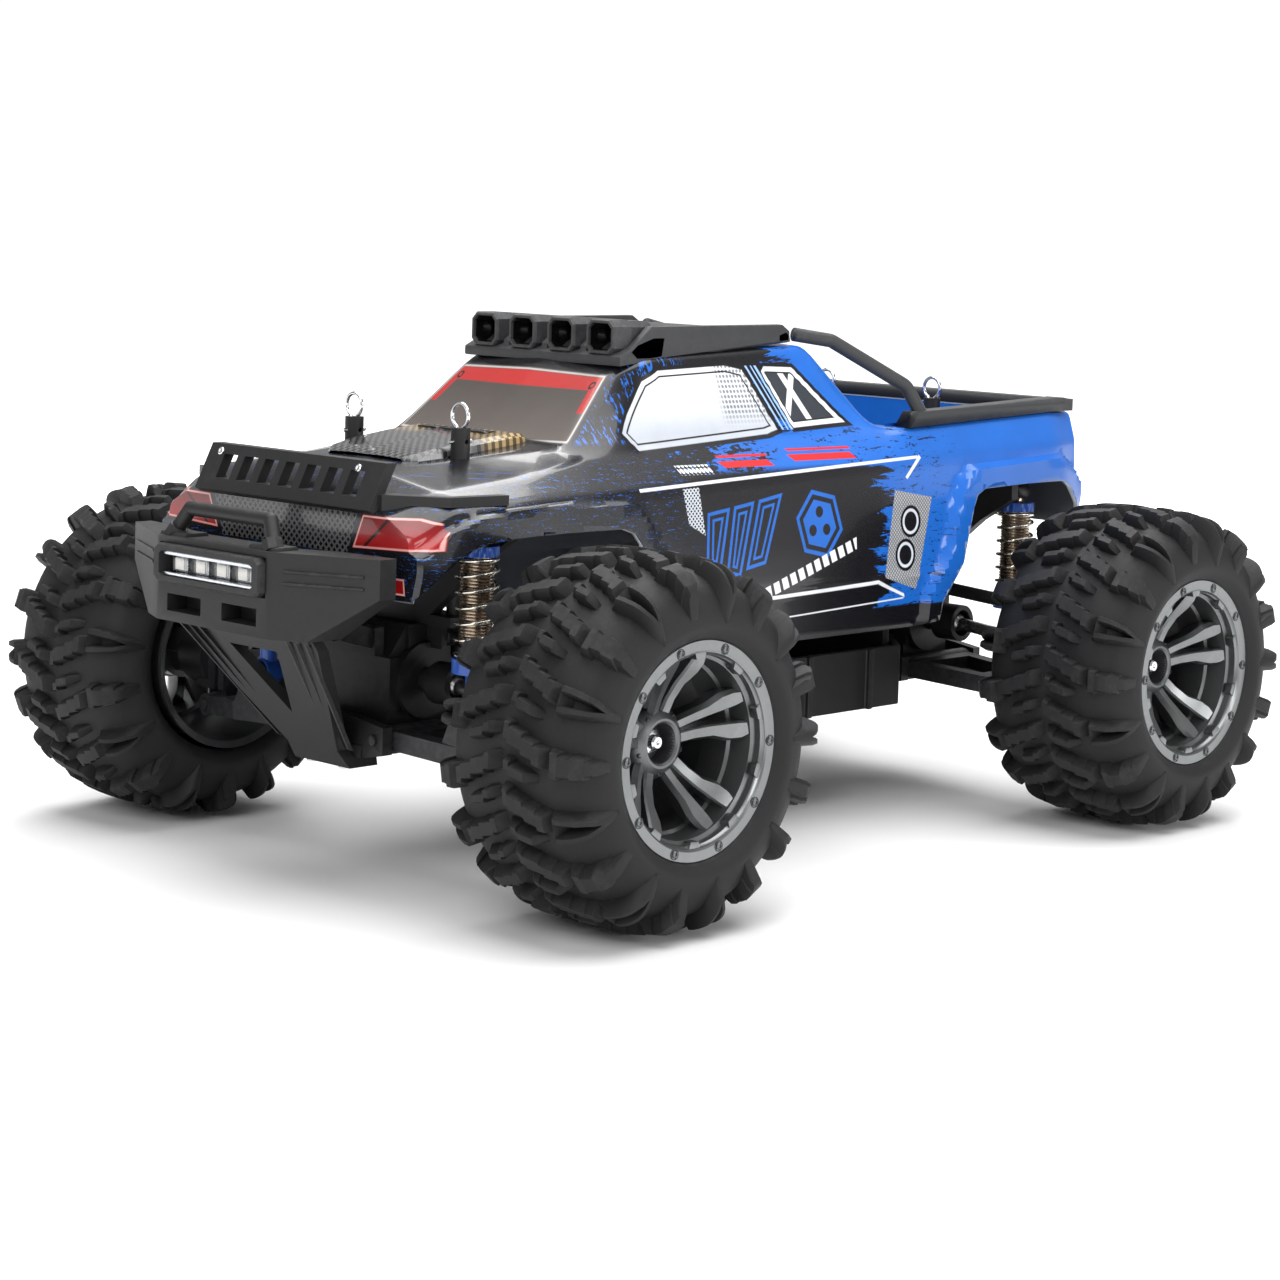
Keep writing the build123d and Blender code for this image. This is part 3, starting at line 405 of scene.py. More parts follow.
def metal(name, base, roughness, along=(1.0, 1.0, 8.0)):
    """Plated or turned metal with fine scratches, close together along the larger numbers."""
    made, g, shader = new_material(name, base)
    worn = tuple(min(1.0, c * 1.25) for c in base)
    finish = g.call(
        group("finish"), Base=(*base, 1.0), Worn=(*worn, 1.0), Drift=0.12, Wear=0.4, Dust=0.03,
        Roughness=roughness, Grain_Scale=3000.0,
    )
    lines = g.call(group("scratches"), Along=along, Scale=900.0, Amount=0.25)
    g.put(shader["Base Color"], finish["Color"])
    shader["Metallic"].default_value = 1.0
    g.put(shader["Roughness"], g.math("ADD", finish["Roughness"], lines["Mask"], clamp=True))
    add_bump(g, shader, lines["Height"], 1e-5, 0.5)
    return made


def picked(setting, scale=1.0):
    """A colour from the settings, lighter or darker by scale."""
    return lambda: tuple(c * scale for c in getattr(colours(), setting))


# Base colour, or where the settings give it, then what else moulded() is told.
MOULDED = {
    "tyre_rubber": (picked("rubber"), dict(roughness=0.62, grain=1600.0, depth=6e-5, wear=0.25,
                                           dust=0.04, specular=0.28)),
    "rim_titanium": (picked("rim"), dict(roughness=0.36, metallic=0.9, depth=8e-6, wear=0.2)),
    # The next entry is the rim titanium made 1.35 times lighter: a painted highlight on the outward faces of
    # the spokes, bead ring and notches.
    "rim_face": (picked("rim", 1.35), dict(roughness=0.30, metallic=0.95, depth=6e-6, wear=0.2)),
    "rim_dark": ((0.05, 0.05, 0.053), dict(roughness=0.5, metallic=0.4, depth=8e-6)),
    "damper_blue": ((0.02, 0.09, 0.42), dict(roughness=0.3, coat=0.3, depth=8e-6)),
    "arm_nylon": ((0.016, 0.016, 0.018), dict(roughness=0.42, grain=2200.0, wear=0.4)),
    "servo_case": ((0.02, 0.02, 0.022), dict(roughness=0.35, coat=0.1)),
    "spur_acetal": ((0.03, 0.03, 0.032), dict(roughness=0.3)),
    "battery_wrap": ((0.02, 0.07, 0.30), dict(roughness=0.3, coat=0.4, depth=1e-5)),
    "chassis_nylon": ((0.014, 0.014, 0.015), dict(roughness=0.5, grain=1800.0, depth=3e-5, wear=0.4)),
    "moulding_black": (picked("moulding"), dict(roughness=0.5, grain=2600.0, depth=3e-5, dust=0.08)),
    "rack_grey": ((0.034, 0.035, 0.037), dict(roughness=0.52, grain=2600.0, depth=3e-5, dust=0.10)),
    "lamp_recess": ((0.004, 0.004, 0.004), dict(roughness=0.25, coat=0.5)),
    "led_chip": ((0.92, 0.90, 0.84), dict(roughness=0.2, coat=0.8)),
    # The next entry is the cut edge of the clear shell, painted light as a highlight line along the arches,
    # bed opening and sill.
    "cut_edge": ((0.62, 0.66, 0.72), dict(roughness=0.25, coat=0.3, wear=0.1)),
    "shell_inside": ((0.16, 0.17, 0.19), dict(roughness=0.4, coat=0.2)),
    "bed_grey": ((0.17, 0.18, 0.19), dict(roughness=0.42, coat=0.15, grain=1200.0)),
}
# Base colour, roughness and, where it isn't the usual one, the scratch direction.
METALS = {
    "chrome_steel": ((0.74, 0.75, 0.77), 0.12),
    "spring_steel": ((0.72, 0.68, 0.60), 0.16),
    "drive_steel": ((0.50, 0.50, 0.51), 0.28, (8.0, 1.0, 1.0)),
    "damper_bronze": ((0.40, 0.33, 0.26), 0.24, (1.0, 1.0, 20.0)),
    "pinion_brass": ((0.72, 0.52, 0.22), 0.22, (20.0, 1.0, 1.0)),
    "motor_can": ((0.46, 0.46, 0.48), 0.3, (1.0, 12.0, 12.0)),
    "reflector": ((0.55, 0.57, 0.60), 0.12),
}
MATERIALS = {}


def make_material(name):
    if name in METALS:
        return metal(name, *METALS[name])
    if name in MOULDED:
        base, settings = MOULDED[name]
        return moulded(name, base() if callable(base) else base, **settings)
    return SPECIAL_MAKERS[name]()


def material(name):
    """The named material, made the first time it is asked for."""
    if name not in MATERIALS:
        MATERIALS[name] = make_material(name)
    return MATERIALS[name]


# ---- printed body ---------------------------------------------------------------------

# Outlines of (along the truck, up) on the sides, and (across, up) on the screen and the nose.
DOOR_WINDOW = ((54.6, 109.4), (51.2, 105.0), (3.3, 107.9), (-1.0, 108.9), (6.4, 124.4),
               (12.8, 125.6), (37.6, 124.6), (43.6, 122.0))
QUARTER_WINDOW = ((-0.6, 124.0), (-2.2, 125.2), (-12.8, 124.8), (-27.6, 110.2), (-7.3, 109.2))
WINDSCREEN = ((-6.0, 105.6), (31.6, 106.8), (26.6, 123.6), (-6.0, 124.4))
STICKER = ((-38.0, 92.0), (-54.0, 89.4), (-47.0, 64.5), (-33.0, 68.5))
STICKER_RINGS = ((-44.6, 83.2), (-42.2, 74.2))
EMBLEM_BARS = (
    ((37.5, 89.6), (29.0, 90.6), (33.0, 74.6), (38.5, 75.6)),
    ((27.4, 90.8), (19.6, 91.8), (25.6, 72.6), (31.0, 73.8)),
    ((17.8, 92.0), (8.6, 93.4), (15.8, 75.4), (23.6, 74.2)),
)
EMBLEM_CENTRE = (-6.0, 84.6)
EMBLEM_RADIUS = 9.6
DIAMOND_PATCH = ((46.5, 96.0), (40.5, 96.2), (38.5, 84.0), (44.5, 87.0))
FOG_LAMP = ((33.0, 74.4), (44.5, 74.8), (44.0, 78.6), (33.0, 78.4))
HEAD_LAMP = ((25.5, 84.2), (51.0, 85.4), (51.0, 91.2), (44.0, 92.6), (29.0, 92.4))
GRILLE = ((-6.0, 82.6), (23.6, 82.6), (27.0, 92.4), (-6.0, 93.0))


def sides_of(outline):
    """The pairs of neighbouring points round a closed outline."""
    return list(zip(outline, (*outline[1:], outline[0])))


def outline_distance(g, u, v, points):
    """Distance to a convex outline, negative inside it."""
    turning = sum(a[0] * b[1] - b[0] * a[1] for a, b in sides_of(points))
    sign = 1.0 if turning > 0 else -1.0
    result = None
    for a, b in sides_of(points):
        dx, dy = b[0] - a[0], b[1] - a[1]
        length = math.hypot(dx, dy)
        nx, ny = sign * dy / length, -sign * dx / length
        part = g.math("MULTIPLY_ADD", u, nx, -(nx * a[0] + ny * a[1]))
        part = g.math("MULTIPLY_ADD", v, ny, part)
        result = part if result is None else g.math("MAXIMUM", result, part)
    return result


def circle_distance(g, u, v, centre):
    du = g.math("SUBTRACT", u, centre[0])
    dv = g.math("SUBTRACT", v, centre[1])
    square = g.math("MULTIPLY_ADD", du, du, g.math("MULTIPLY", dv, dv))
    return g.math("SQRT", square)


def on_circle(centre, radius, degrees):
    angle = math.radians(degrees)
    return (centre[0] + radius * math.cos(angle), centre[1] + radius * math.sin(angle))


def band(g, value, low, high, soft=0.12):
    return g.math("MULTIPLY", g.above(value, low, soft), g.below(value, high, soft))


def cell_offset(g, value, pitch):
    """Distance from the middle of a repeating cell, as a share of the pitch."""
    return g.math("SUBTRACT", g.math("FRACT", g.math("DIVIDE", value, pitch)), 0.5)


def dots(g, u, v, pitch, share):
    """Round dots on a square grid, 1 inside a dot."""
    du, dv = (cell_offset(g, value, pitch) for value in (u, v))
    square = g.math("MULTIPLY_ADD", du, du, g.math("MULTIPLY", dv, dv))
    return g.below(g.math("SQRT", square), share, 0.06)


def diamonds(g, u, v, pitch, width):
    """Thin crossing diagonal wires, 1 on a wire."""
    lines = []
    for sign in (1.0, -1.0):
        offset = g.math("ABSOLUTE", cell_offset(g, g.math("MULTIPLY_ADD", v, sign, u), pitch))
        lines.append(g.ramp(offset, width, width + 0.08, 1.0, 0.0))
    return g.any_of(*lines)


PRINT_WHITE = (0.80, 0.83, 0.86, 1.0)
PRINT_SILVER = (0.62, 0.66, 0.72, 1.0)
PRINT_RED = (0.60, 0.015, 0.018, 1.0)
BANNER_RED = (0.42, 0.02, 0.018, 1.0)
WINDOW_INK = (0.02, 0.02, 0.02, 1.0)
NOSE_X = 127.0
SCREEN_X = (48.0, 73.0)


class Paint:
    """The body colour as it builds up, one print over another."""

    def __init__(self, g):
        self.g = g
        place = g.call(group("place"))
        self.x, self.y, self.z = place["X"], place["Y"], place["Z"]
        facing = g.split(g.node("ShaderNodeTexCoord").outputs["Normal"])
        self.side = g.above(g.math("ABSOLUTE", facing[1]), 0.35, 0.05)
        self.ahead = g.above(facing[0], 0.45, 0.05)
        self.nose = g.above(self.x, NOSE_X, 0.5)
        self.black = (*colours().body_black, 1.0)
        self.blue = (*colours().body_blue, 1.0)
        self.colour = self.black

    def lay(self, tint, *masks):
        """Prints a colour where every mask is 1."""
        self.colour = self.g.mix(self.g.all_of(*masks), self.colour, tint)

    def splatter(self, across, up, size, amount):
        return self.g.call(group("splatter"), X=across, Z=up, Size=size, Amount=amount)

    def from_line(self, slope, height):
        """Height above or below a sloping line along the side."""
        return self.g.math("SUBTRACT", self.z, self.g.math("MULTIPLY_ADD", self.x, slope, height))

    def side_line(self, slope, height, half_width, rear, front):
        gap = self.g.math("ABSOLUTE", self.from_line(slope, height))
        return self.g.all_of(
            self.g.below(gap, half_width), band(self.g, self.x, rear, front), self.side
        )

    def side_patch(self, outline):
        return self.g.all_of(self.g.below(outline_distance(self.g, self.x, self.z, outline), 0.0), self.side)


def paint_splashes(paint):
    """Blue specks over the hood, torn blue belt, pillars and rear, and black scratches."""
    g, x, y, z = paint.g, paint.x, paint.y, paint.z
    slanted = g.math("ADD", x, g.math("MULTIPLY", y, 1.3))
    speck = paint.splatter(slanted, z, 4.5, 0.34)["Mask"]
    paint.lay(paint.blue, speck, g.above(x, 45.0, 8.0), g.below(z, 103.0, 3.0), 0.7)
    belt = paint.splatter(x, z, 1.5, g.ramp(x, 56.0, -38.0, 0.30, 1.0))["Mask"]
    paint.lay(paint.blue, belt, g.above(z, 99.5, 1.0), g.below(z, 108.0, 0.8), g.below(x, 52.0, 3.0))
    pillar = paint.splatter(z, x, 1.4, 0.42)["Mask"]
    paint.lay(paint.blue, pillar, g.above(z, 107.0, 1.0), g.above(x, 30.0, 4.0), paint.side)
    tear = paint.splatter(x, z, 1.0, 0.5)["Tear"]
    start = g.math("MULTIPLY_ADD", tear, 62.0, g.ramp(z, 97.0, 103.0, -34.0, -6.0))
    paint.lay(paint.blue, g.below(g.math("SUBTRACT", x, start), 0.0, 0.5))
    scratch = paint.splatter(x, z, 2.2, 0.36)["Mask"]
    paint.lay(paint.black, scratch, g.below(x, -8.0, 3.0), g.above(x, -62.0, 10.0),
              g.below(z, 109.0, 0.6), 0.9)
    paint.lay(paint.black, g.below(z, 60.5, 0.3), g.above(x, -60.0, 1.0))


def paint_emblem(paint):
    """Three slanted frames and a hexagon with three holes."""
    g, x, z = paint.g, paint.x, paint.z
    for frame_outline in EMBLEM_BARS:
        distance = outline_distance(g, x, z, frame_outline)
        paint.lay(paint.black, g.below(distance, 0.5))
        for low, high in ((-0.9, 0.0), (-2.6, -1.9)):
            paint.lay(paint.blue, band(g, distance, low, high), paint.side)
    corners = [on_circle(EMBLEM_CENTRE, EMBLEM_RADIUS, 60 * i + 12) for i in range(6)]
    ring = outline_distance(g, x, z, corners)
    paint.lay(paint.black, g.below(ring, 0.8))
    paint.lay(paint.blue, band(g, ring, -1.1, 0.0), paint.side)
    paint.lay(paint.blue, g.below(ring, -2.4), paint.side)
    for degrees in (90, 210, 330):
        hole = circle_distance(g, x, z, on_circle(EMBLEM_CENTRE, 3.2, degrees))
        paint.lay(paint.black, g.below(hole, 1.5))


def paint_stripes(paint):
    """Slanted dashes, red bars, dotted tab, and white lines along the side."""
    g, x, z, side = paint.g, paint.x, paint.z, paint.side
    slant = g.math("MULTIPLY_ADD", z, -0.35, x)
    dash = g.below(g.math("ABSOLUTE", cell_offset(g, slant, 3.6)), 0.33, 0.03)
    height = paint.from_line(-0.30, 73.4)
    paint.lay(PRINT_WHITE, dash, band(g, height, -2.6, 0.6), band(g, x, -21.0, 17.0), side)
    for front, end, low, high in ((27.0, 9.0, 100.4, 101.9), (27.0, 9.0, 102.7, 103.3),
                                  (0.5, -23.5, 101.2, 102.8), (0.5, -23.5, 103.6, 104.2)):
        shift = g.math("MULTIPLY_ADD", g.math("SUBTRACT", z, low), -0.8, x)
        paint.lay(PRINT_RED, band(g, shift, end, front), band(g, z, low, high), side)
    paint.lay(PRINT_WHITE, band(g, x, 32.5, 44.0), band(g, z, 99.2, 101.4), side,
              dots(g, x, z, 1.4, 0.42))
    lines = [
        paint.side_line(-0.0395, 98.75, 0.38, -48.0, 62.0),
        paint.side_line(-0.030, 66.7, 0.5, -30.0, 44.0),
        paint.side_line(-0.036, 60.9, 0.18, -42.0, 46.0),
        paint.side_patch(((-48.6, 101.2), (-49.4, 100.4), (-43.4, 94.8), (-42.6, 95.4))),
        paint.side_patch(((-29.6, 68.1), (-30.0, 67.0), (-42.4, 62.6), (-42.0, 63.6))),
    ]
    paint.lay(PRINT_WHITE, g.any_of(*lines))


def paint_stickers(paint):
    """Grey woven sticker with two rings, and the small diamond patch."""
    g, x, z, side = paint.g, paint.x, paint.z, paint.side
    grey = g.mix(diamonds(g, x, z, 1.15, 0.12), (0.42, 0.44, 0.46, 1.0), (0.13, 0.13, 0.14, 1.0))
    paint.lay(grey, paint.side_patch(STICKER))
    for centre in STICKER_RINGS:
        radius = circle_distance(g, x, z, centre)
        paint.lay(paint.black, g.below(radius, 4.4), side)
        paint.lay(PRINT_SILVER, band(g, radius, 2.7, 3.5), side)
    paint.lay(PRINT_SILVER, paint.side_patch(DIAMOND_PATCH), diamonds(g, x, z, 1.3, 0.16))


def door_pane(paint):
    g, x, z = paint.g, paint.x, paint.z
    pane = g.mix(g.ramp(z, 106.0, 124.0), (0.46, 0.49, 0.54, 1.0), (0.78, 0.80, 0.84, 1.0))
    spots = g.all_of(dots(g, x, z, 1.3, 0.36), band(g, x, -1.0, 17.0, 2.0), g.above(z, 112.0, 3.0))
    return g.mix(g.math("MULTIPLY", spots, 0.8), pane, (0.12, 0.12, 0.13, 1.0))


def quarter_pane(paint, distance):
    """Dark pane with a white cross and frame."""
    g, x, z = paint.g, paint.x, paint.z
    bars = []
    for slope, middle in ((0.52, 51.5), (-0.55, -76.0)):
        along = g.math("MULTIPLY_ADD", z, slope, x)
        bars.append(g.below(g.math("ABSOLUTE", g.math("SUBTRACT", along, middle)), 1.1))
    pane = g.mix(g.any_of(*bars), (0.035, 0.04, 0.05, 1.0), PRINT_WHITE)
    return g.mix(g.above(distance, -1.3), pane, PRINT_WHITE)


def paint_side_windows(paint):
    """Door and quarter windows with their borders, and the blue posts between them."""
    g, x, z, side = paint.g, paint.x, paint.z, paint.side
    for window in (DOOR_WINDOW, QUARTER_WINDOW):
        distance = outline_distance(g, x, z, window)
        paint.lay(paint.black, g.below(distance, 1.1), side)
        pane = door_pane(paint) if window is DOOR_WINDOW else quarter_pane(paint, distance)
        paint.lay(pane, g.below(distance, 0.0), side)
        paint.lay(WINDOW_INK, band(g, distance, -1.7, -1.25), side)
    post = g.math("MULTIPLY_ADD", z, -0.48, x)
    posts = [band(g, post, low, high) for low, high in ((-55.6, -54.9), (-57.4, -56.9), (-59.2, -58.3))]
    paint.lay((0.30, 0.48, 0.85, 1.0), g.any_of(*posts), band(g, z, 108.8, 125.5), side)


def paint_windscreen(paint):
    """Dark screen with a red banner, a thin border and a black surround."""
    g, x, y, z = paint.g, paint.x, paint.y, paint.z
    screen = outline_distance(g, y, z, WINDSCREEN)
    shade = g.mix(g.ramp(z, 106.0, 122.0), (0.105, 0.088, 0.078, 1.0), (0.06, 0.05, 0.045, 1.0))
    inset = g.below(screen, -0.9)
    shade = g.mix(g.all_of(g.above(z, 119.6), inset), shade, BANNER_RED)
    shade = g.mix(g.all_of(g.above(screen, -3.0), g.above(z, 114.0), inset), shade, BANNER_RED)
    spot = circle_distance(g, y, z, (24.6, 120.8))
    shade = g.mix(band(g, spot, 0.5, 0.95), shade, paint.black)
    shade = g.mix(band(g, screen, -0.75, -0.3), shade, (0.45, 0.43, 0.42, 1.0))
    reach = g.all_of(band(g, x, *SCREEN_X, 0.5), paint.ahead)
    paint.lay(paint.black, reach, g.below(screen, 1.2))
    paint.lay(shade, reach, g.below(screen, 0.0))


def paint_nose(paint):
    """Head lamps, fog lamps and the grille."""
    g, y, z, nose = paint.g, paint.y, paint.z, paint.nose
    red = (*colours().lamp_red, 1.0)
    lamp = outline_distance(g, y, z, HEAD_LAMP)
    glow = g.mix(g.ramp(z, 85.0, 92.0), red, (0.16, 0.006, 0.008, 1.0))
    paint.lay(paint.black, g.below(lamp, 0.7), nose)
    paint.lay(glow, g.below(lamp, 0.0), nose)
    paint.lay((0.75, 0.35, 0.33, 1.0), band(g, lamp, -0.55, -0.1), nose)
    slash = g.math("MULTIPLY_ADD", z, -1.2, y)
    paint.lay((0.02, 0.005, 0.005, 1.0), band(g, slash, -72.8, -71.6), g.below(lamp, -0.6), nose)
    fog = outline_distance(g, y, z, FOG_LAMP)
    paint.lay(red, g.below(fog, 0.0), nose)
    paint.lay((0.75, 0.4, 0.38, 1.0), band(g, fog, -0.4, 0.0), nose)
    wires = g.mix(diamonds(g, y, z, 2.0, 0.15), (0.002, 0.002, 0.002, 1.0), (0.09, 0.09, 0.095, 1.0))
    paint.lay(wires, g.below(outline_distance(g, y, z, GRILLE), 0.0), nose)


def make_body_paint():
    """Black front, torn royal blue rear, printed windows, lamps and generic graphics."""
    made, g, shader = new_material("body_paint", (0.02, 0.12, 0.5))
    paint = Paint(g)
    for lay_print in (paint_splashes, paint_emblem, paint_stripes, paint_stickers,
                      paint_side_windows, paint_windscreen, paint_nose):
        lay_print(paint)
    where = g.where()
    haze = g.math("SUBTRACT", g.noise(where, 60.0, 5.0, 0.6), 0.5)
    hsv = g.node("ShaderNodeHueSaturation")
    g.put(hsv.inputs["Color"], paint.colour)
    g.put(hsv.inputs["Value"], g.math("MULTIPLY_ADD", haze, 0.35, 1.0))
    g.put(shader["Base Color"], hsv.outputs["Color"])
    swirl = g.noise(where, 900.0, 4.0, 0.6)
    g.put(shader["Roughness"], g.math("MULTIPLY_ADD", swirl, 0.10, 0.20))
    g.put(shader["Coat Weight"], g.ramp(swirl, 0.2, 0.9, 0.35, 0.55))
    set_constants(shader, {"Coat Roughness": 0.06, "Specular IOR Level": 0.35})
    add_bump(g, shader, g.noise(where, 260.0, 2.0), 4e-5, 0.35)
    return made


def make_scoop_carbon():
    """Woven carbon check under gloss, partly gold at the rear corner."""
    made, g, shader = new_material("scoop_carbon", (0.03, 0.03, 0.03))
    place = g.call(group("place"))
    x, y = place["X"], place["Y"]
    columns, lines = (g.math("GREATER_THAN", cell_offset(g, value, 2.4), 0.0) for value in (x, y))
    check = g.math("ABSOLUTE", g.math("SUBTRACT", columns, lines))
    dark = g.mix(check, (0.012, 0.012, 0.012, 1.0), (0.085, 0.085, 0.088, 1.0))
    gold = g.mix(check, (0.10, 0.06, 0.02, 1.0), (0.42, 0.30, 0.13, 1.0))
    near = g.all_of(g.below(x, 86.0, 3.0), g.above(y, 7.0, 1.0))
    g.put(shader["Base Color"], g.mix(near, dark, gold))
    g.put(shader["Roughness"], g.blend(check, 0.22, 0.34))
    set_constants(shader, {"Coat Weight": 0.8, "Coat Roughness": 0.08})
    add_bump(g, shader, check, 6e-5, 0.5)
    return made


def make_lens_smoke():
    """Smoked clear lens with mould haze."""
    made, g, shader = new_material("lens_smoke", (0.25, 0.26, 0.28))
    haze = g.noise(g.where(), 220.0, 3.0)
    g.put(shader["Base Color"], g.mix(haze, (0.10, 0.10, 0.11, 1.0), (0.16, 0.16, 0.17, 1.0)))
    g.put(shader["Roughness"], g.math("MULTIPLY_ADD", haze, 0.08, 0.04))
    g.put(shader["Alpha"], g.math("MULTIPLY_ADD", haze, 0.10, 0.22))
    shader["Coat Weight"].default_value = 1.0
    add_bump(g, shader, g.noise(g.where(), 500.0, 2.0), 1e-5, 0.3)
    return made


def make_floor_white():
    """White floor that stays white away from the lamps."""
    made, g, shader = new_material("floor_white", (0.9, 0.9, 0.9))
    where = g.where()
    grain = g.noise(where, 40.0, 4.0)
    g.put(shader["Base Color"], g.mix(grain, (0.86, 0.86, 0.86, 1.0), (0.88, 0.88, 0.88, 1.0)))
    g.put(shader["Roughness"], g.math("MULTIPLY_ADD", grain, 0.1, 0.65))
    reach = g.node("ShaderNodeVectorMath", operation="LENGTH")
    g.put(reach.inputs[0], where)
    far = g.ramp(reach.outputs["Value"], 0.32, 1.0)
    g.put(shader["Emission Color"], g.mix(far, (0.0, 0.0, 0.0, 1.0), (1.0, 1.0, 1.0, 1.0)))
    shader["Emission Strength"].default_value = 0.85
    add_bump(g, shader, grain, 1e-6, 0.2)
    return made


SPECIAL_MAKERS = {
    "body_paint": make_body_paint,
    "scoop_carbon": make_scoop_carbon,
    "lens_smoke": make_lens_smoke,
    "floor_white": make_floor_white,
}


# ---- mesh drawing ---------------------------------------------------------------------


def level(u, v, w):
    """Places an outline drawn in plan, raised by w."""
    return (u, v, w)


def upright(u, v, w):
    """Places an outline drawn in side view, moved across by w."""
    return (u, w, v)


def ring_points(centre, across, other, radius, segments):
    """A ring of points round a centre in the plane of two directions."""
    angles = (2 * math.pi * k / segments for k in range(segments))
    return [centre + (across * math.cos(a) + other * math.sin(a)) * radius for a in angles]


def side_directions(along):
    """Two directions square to one another and to along."""
    pick = Vector((0, 0, 1)) if abs(along.z) < 0.9 else Vector((1, 0, 0))
    across = along.cross(pick).normalized()
    return across, along.cross(across)


class Shape:
    """A mesh drawn in millimetres; tint is the material slot of the next faces."""

    def __init__(self):
        self.bm = bmesh.new()
        self.tint = 0

    def face(self, verts):
        made = self.bm.faces.new(verts)
        made.material_index = self.tint
        return made

    def rows(self, rows, closed=False, capped=False):
        """Quads between rows of points; closed joins the ends of every row."""
        laid = [[self.bm.verts.new(point) for point in row] for row in rows]
        for low, high in zip(laid, laid[1:]):
            count = len(low)
            for i in range(count if closed else count - 1):
                j = (i + 1) % count
                self.face((low[i], low[j], high[j], high[i]))
        if capped:
            self.face(laid[0][::-1])
            self.face(laid[-1])
        return laid

    def lathe(self, profile, segments=48, centre=(0.0, 0.0, 0.0), axis="Y", closed=True):
        """Turns a profile of (offset along the axis, radius) about the axis."""
        laid = []
        count = len(profile)
        for i in range(segments):
            angle = 2 * math.pi * i / segments
            c, s = math.cos(angle), math.sin(angle)
            line = []
            for offset, radius in profile:
                point = {
                    "X": (offset, radius * c, radius * s),
                    "Y": (radius * c, offset, radius * s),
                    "Z": (radius * c, radius * s, offset),
                }[axis]
                line.append(self.bm.verts.new(Vector(point) + Vector(centre)))
            laid.append(line)
        for i in range(segments):
            one, two = laid[i], laid[(i + 1) % segments]
            for j in range(count if closed else count - 1):
                k = (j + 1) % count
                self.face((one[j], one[k], two[k], two[j]))

    def prism(self, outline, low, high, place=upright, bevel=0.3, segments=2):
        """Extrudes a flat outline; place turns (u, v, w) into a point."""
        bottom = [self.bm.verts.new(place(u, v, low)) for u, v in outline]
        top = [self.bm.verts.new(place(u, v, high)) for u, v in outline]
        made = [self.face(bottom[::-1]), self.face(top)]
        count = len(outline)
        for i in range(count):
            j = (i + 1) % count
            made.append(self.face((bottom[i], bottom[j], top[j], top[i])))
        if bevel:
            edges = {edge for face in made for edge in face.edges}
            bmesh.ops.bevel(
                self.bm, geom=list(edges), offset=bevel, segments=segments, affect="EDGES",
                profile=0.6, clamp_overlap=True, material=-1,
            )

    def block(self, low, high, bevel=0.3):
        """A box between two corners."""
        outline = ((low[0], low[1]), (high[0], low[1]), (high[0], high[1]), (low[0], high[1]))
        self.prism(outline, low[2], high[2], level, bevel)

    def tube(self, path, radius, segments=12, capped=True):
        """A round bar along a path of points."""
        points = [Vector(p) for p in path]
        across = None
        rows = []
        for i, point in enumerate(points):
            before = points[max(i - 1, 0)]
            after = points[min(i + 1, len(points) - 1)]
            along = (after - before).normalized()
            if across is None:
                across = side_directions(along)[0]
            else:
                across = (across - along * across.dot(along)).normalized()
            rows.append(ring_points(point, across, along.cross(across), radius, segments))
        self.rows(rows, closed=True, capped=capped)

    def bolt(self, centre, radius, height, axis, segments=14):
        """A domed screw head with a hexagon recess, its seat at centre."""
        axis = Vector(axis).normalized()
        across, other = side_directions(axis)
        profile = ((0, 1.0), (0.55, 1.0), (0.9, 0.8), (1.0, 0.52), (0.55, 0.48), (0.5, 0.0001))
        rows = [
            ring_points(Vector(centre) + axis * (height * rise), across, other, radius * reach, segments)
            for rise, reach in profile
        ]
        self.rows(rows, closed=True)

    def mesh(self, name, merge=1e-4, move=True):
        """The finished mesh in metres; move takes it from the wheelbase's middle to the row frame."""
        bmesh.ops.remove_doubles(self.bm, verts=self.bm.verts, dist=merge)
        bmesh.ops.recalc_face_normals(self.bm, faces=self.bm.faces)
        mesh = bpy.data.meshes.new(name)
        self.bm.to_mesh(mesh)
        self.bm.free()
        scale = Matrix.Diagonal((MM, MM, MM, 1.0))
        shift = Matrix.Translation((MID_X * MM, 0, 0)) if move else Matrix.Identity(4)
        mesh.transform(shift @ scale)
        return mesh


def soften(mesh, degrees):
    """Smooth shading up to an angle."""
    mesh.polygons.foreach_set("use_smooth", [True] * len(mesh.polygons))
    mesh.set_sharp_from_angle(angle=math.radians(degrees))


def add_piece(name, mesh, materials, body, nodes, degrees):
    """Links a finished mesh, hands it to its body and hides the CAD nodes it stands for."""
    soften(mesh, degrees)
    obj = bpy.data.objects.new(name, mesh)
    bpy.context.scene.collection.objects.link(obj)
    for entry in materials:
        mesh.materials.append(material(entry))
    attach(obj, body)
    if nodes:
        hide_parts(*nodes)
    return obj


SHARP_DEGREES = 32


def dress_node(node, finish, bevel):
    """Gives a CAD node that stays in view its material and rounded edges."""
    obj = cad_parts[node]
    obj.data.materials.clear()
    obj.data.materials.append(material(finish))
    weld = obj.modifiers.new("weld", "WELD")
    weld.merge_threshold = 1e-6
    if bevel:
        rounding = obj.modifiers.new("edge_round", "BEVEL")
        rounding.width = bevel * MM
        rounding.segments = 2
        rounding.limit_method = "ANGLE"
        rounding.angle_limit = math.radians(SHARP_DEGREES)
        rounding.harden_normals = True
    obj.data.polygons.foreach_set("use_smooth", [True] * len(obj.data.polygons))
    smooth = obj.modifiers.new("weighted", "WEIGHTED_NORMAL")
    smooth.keep_sharp = True


# ---- wheels ---------------------------------------------------------------------------

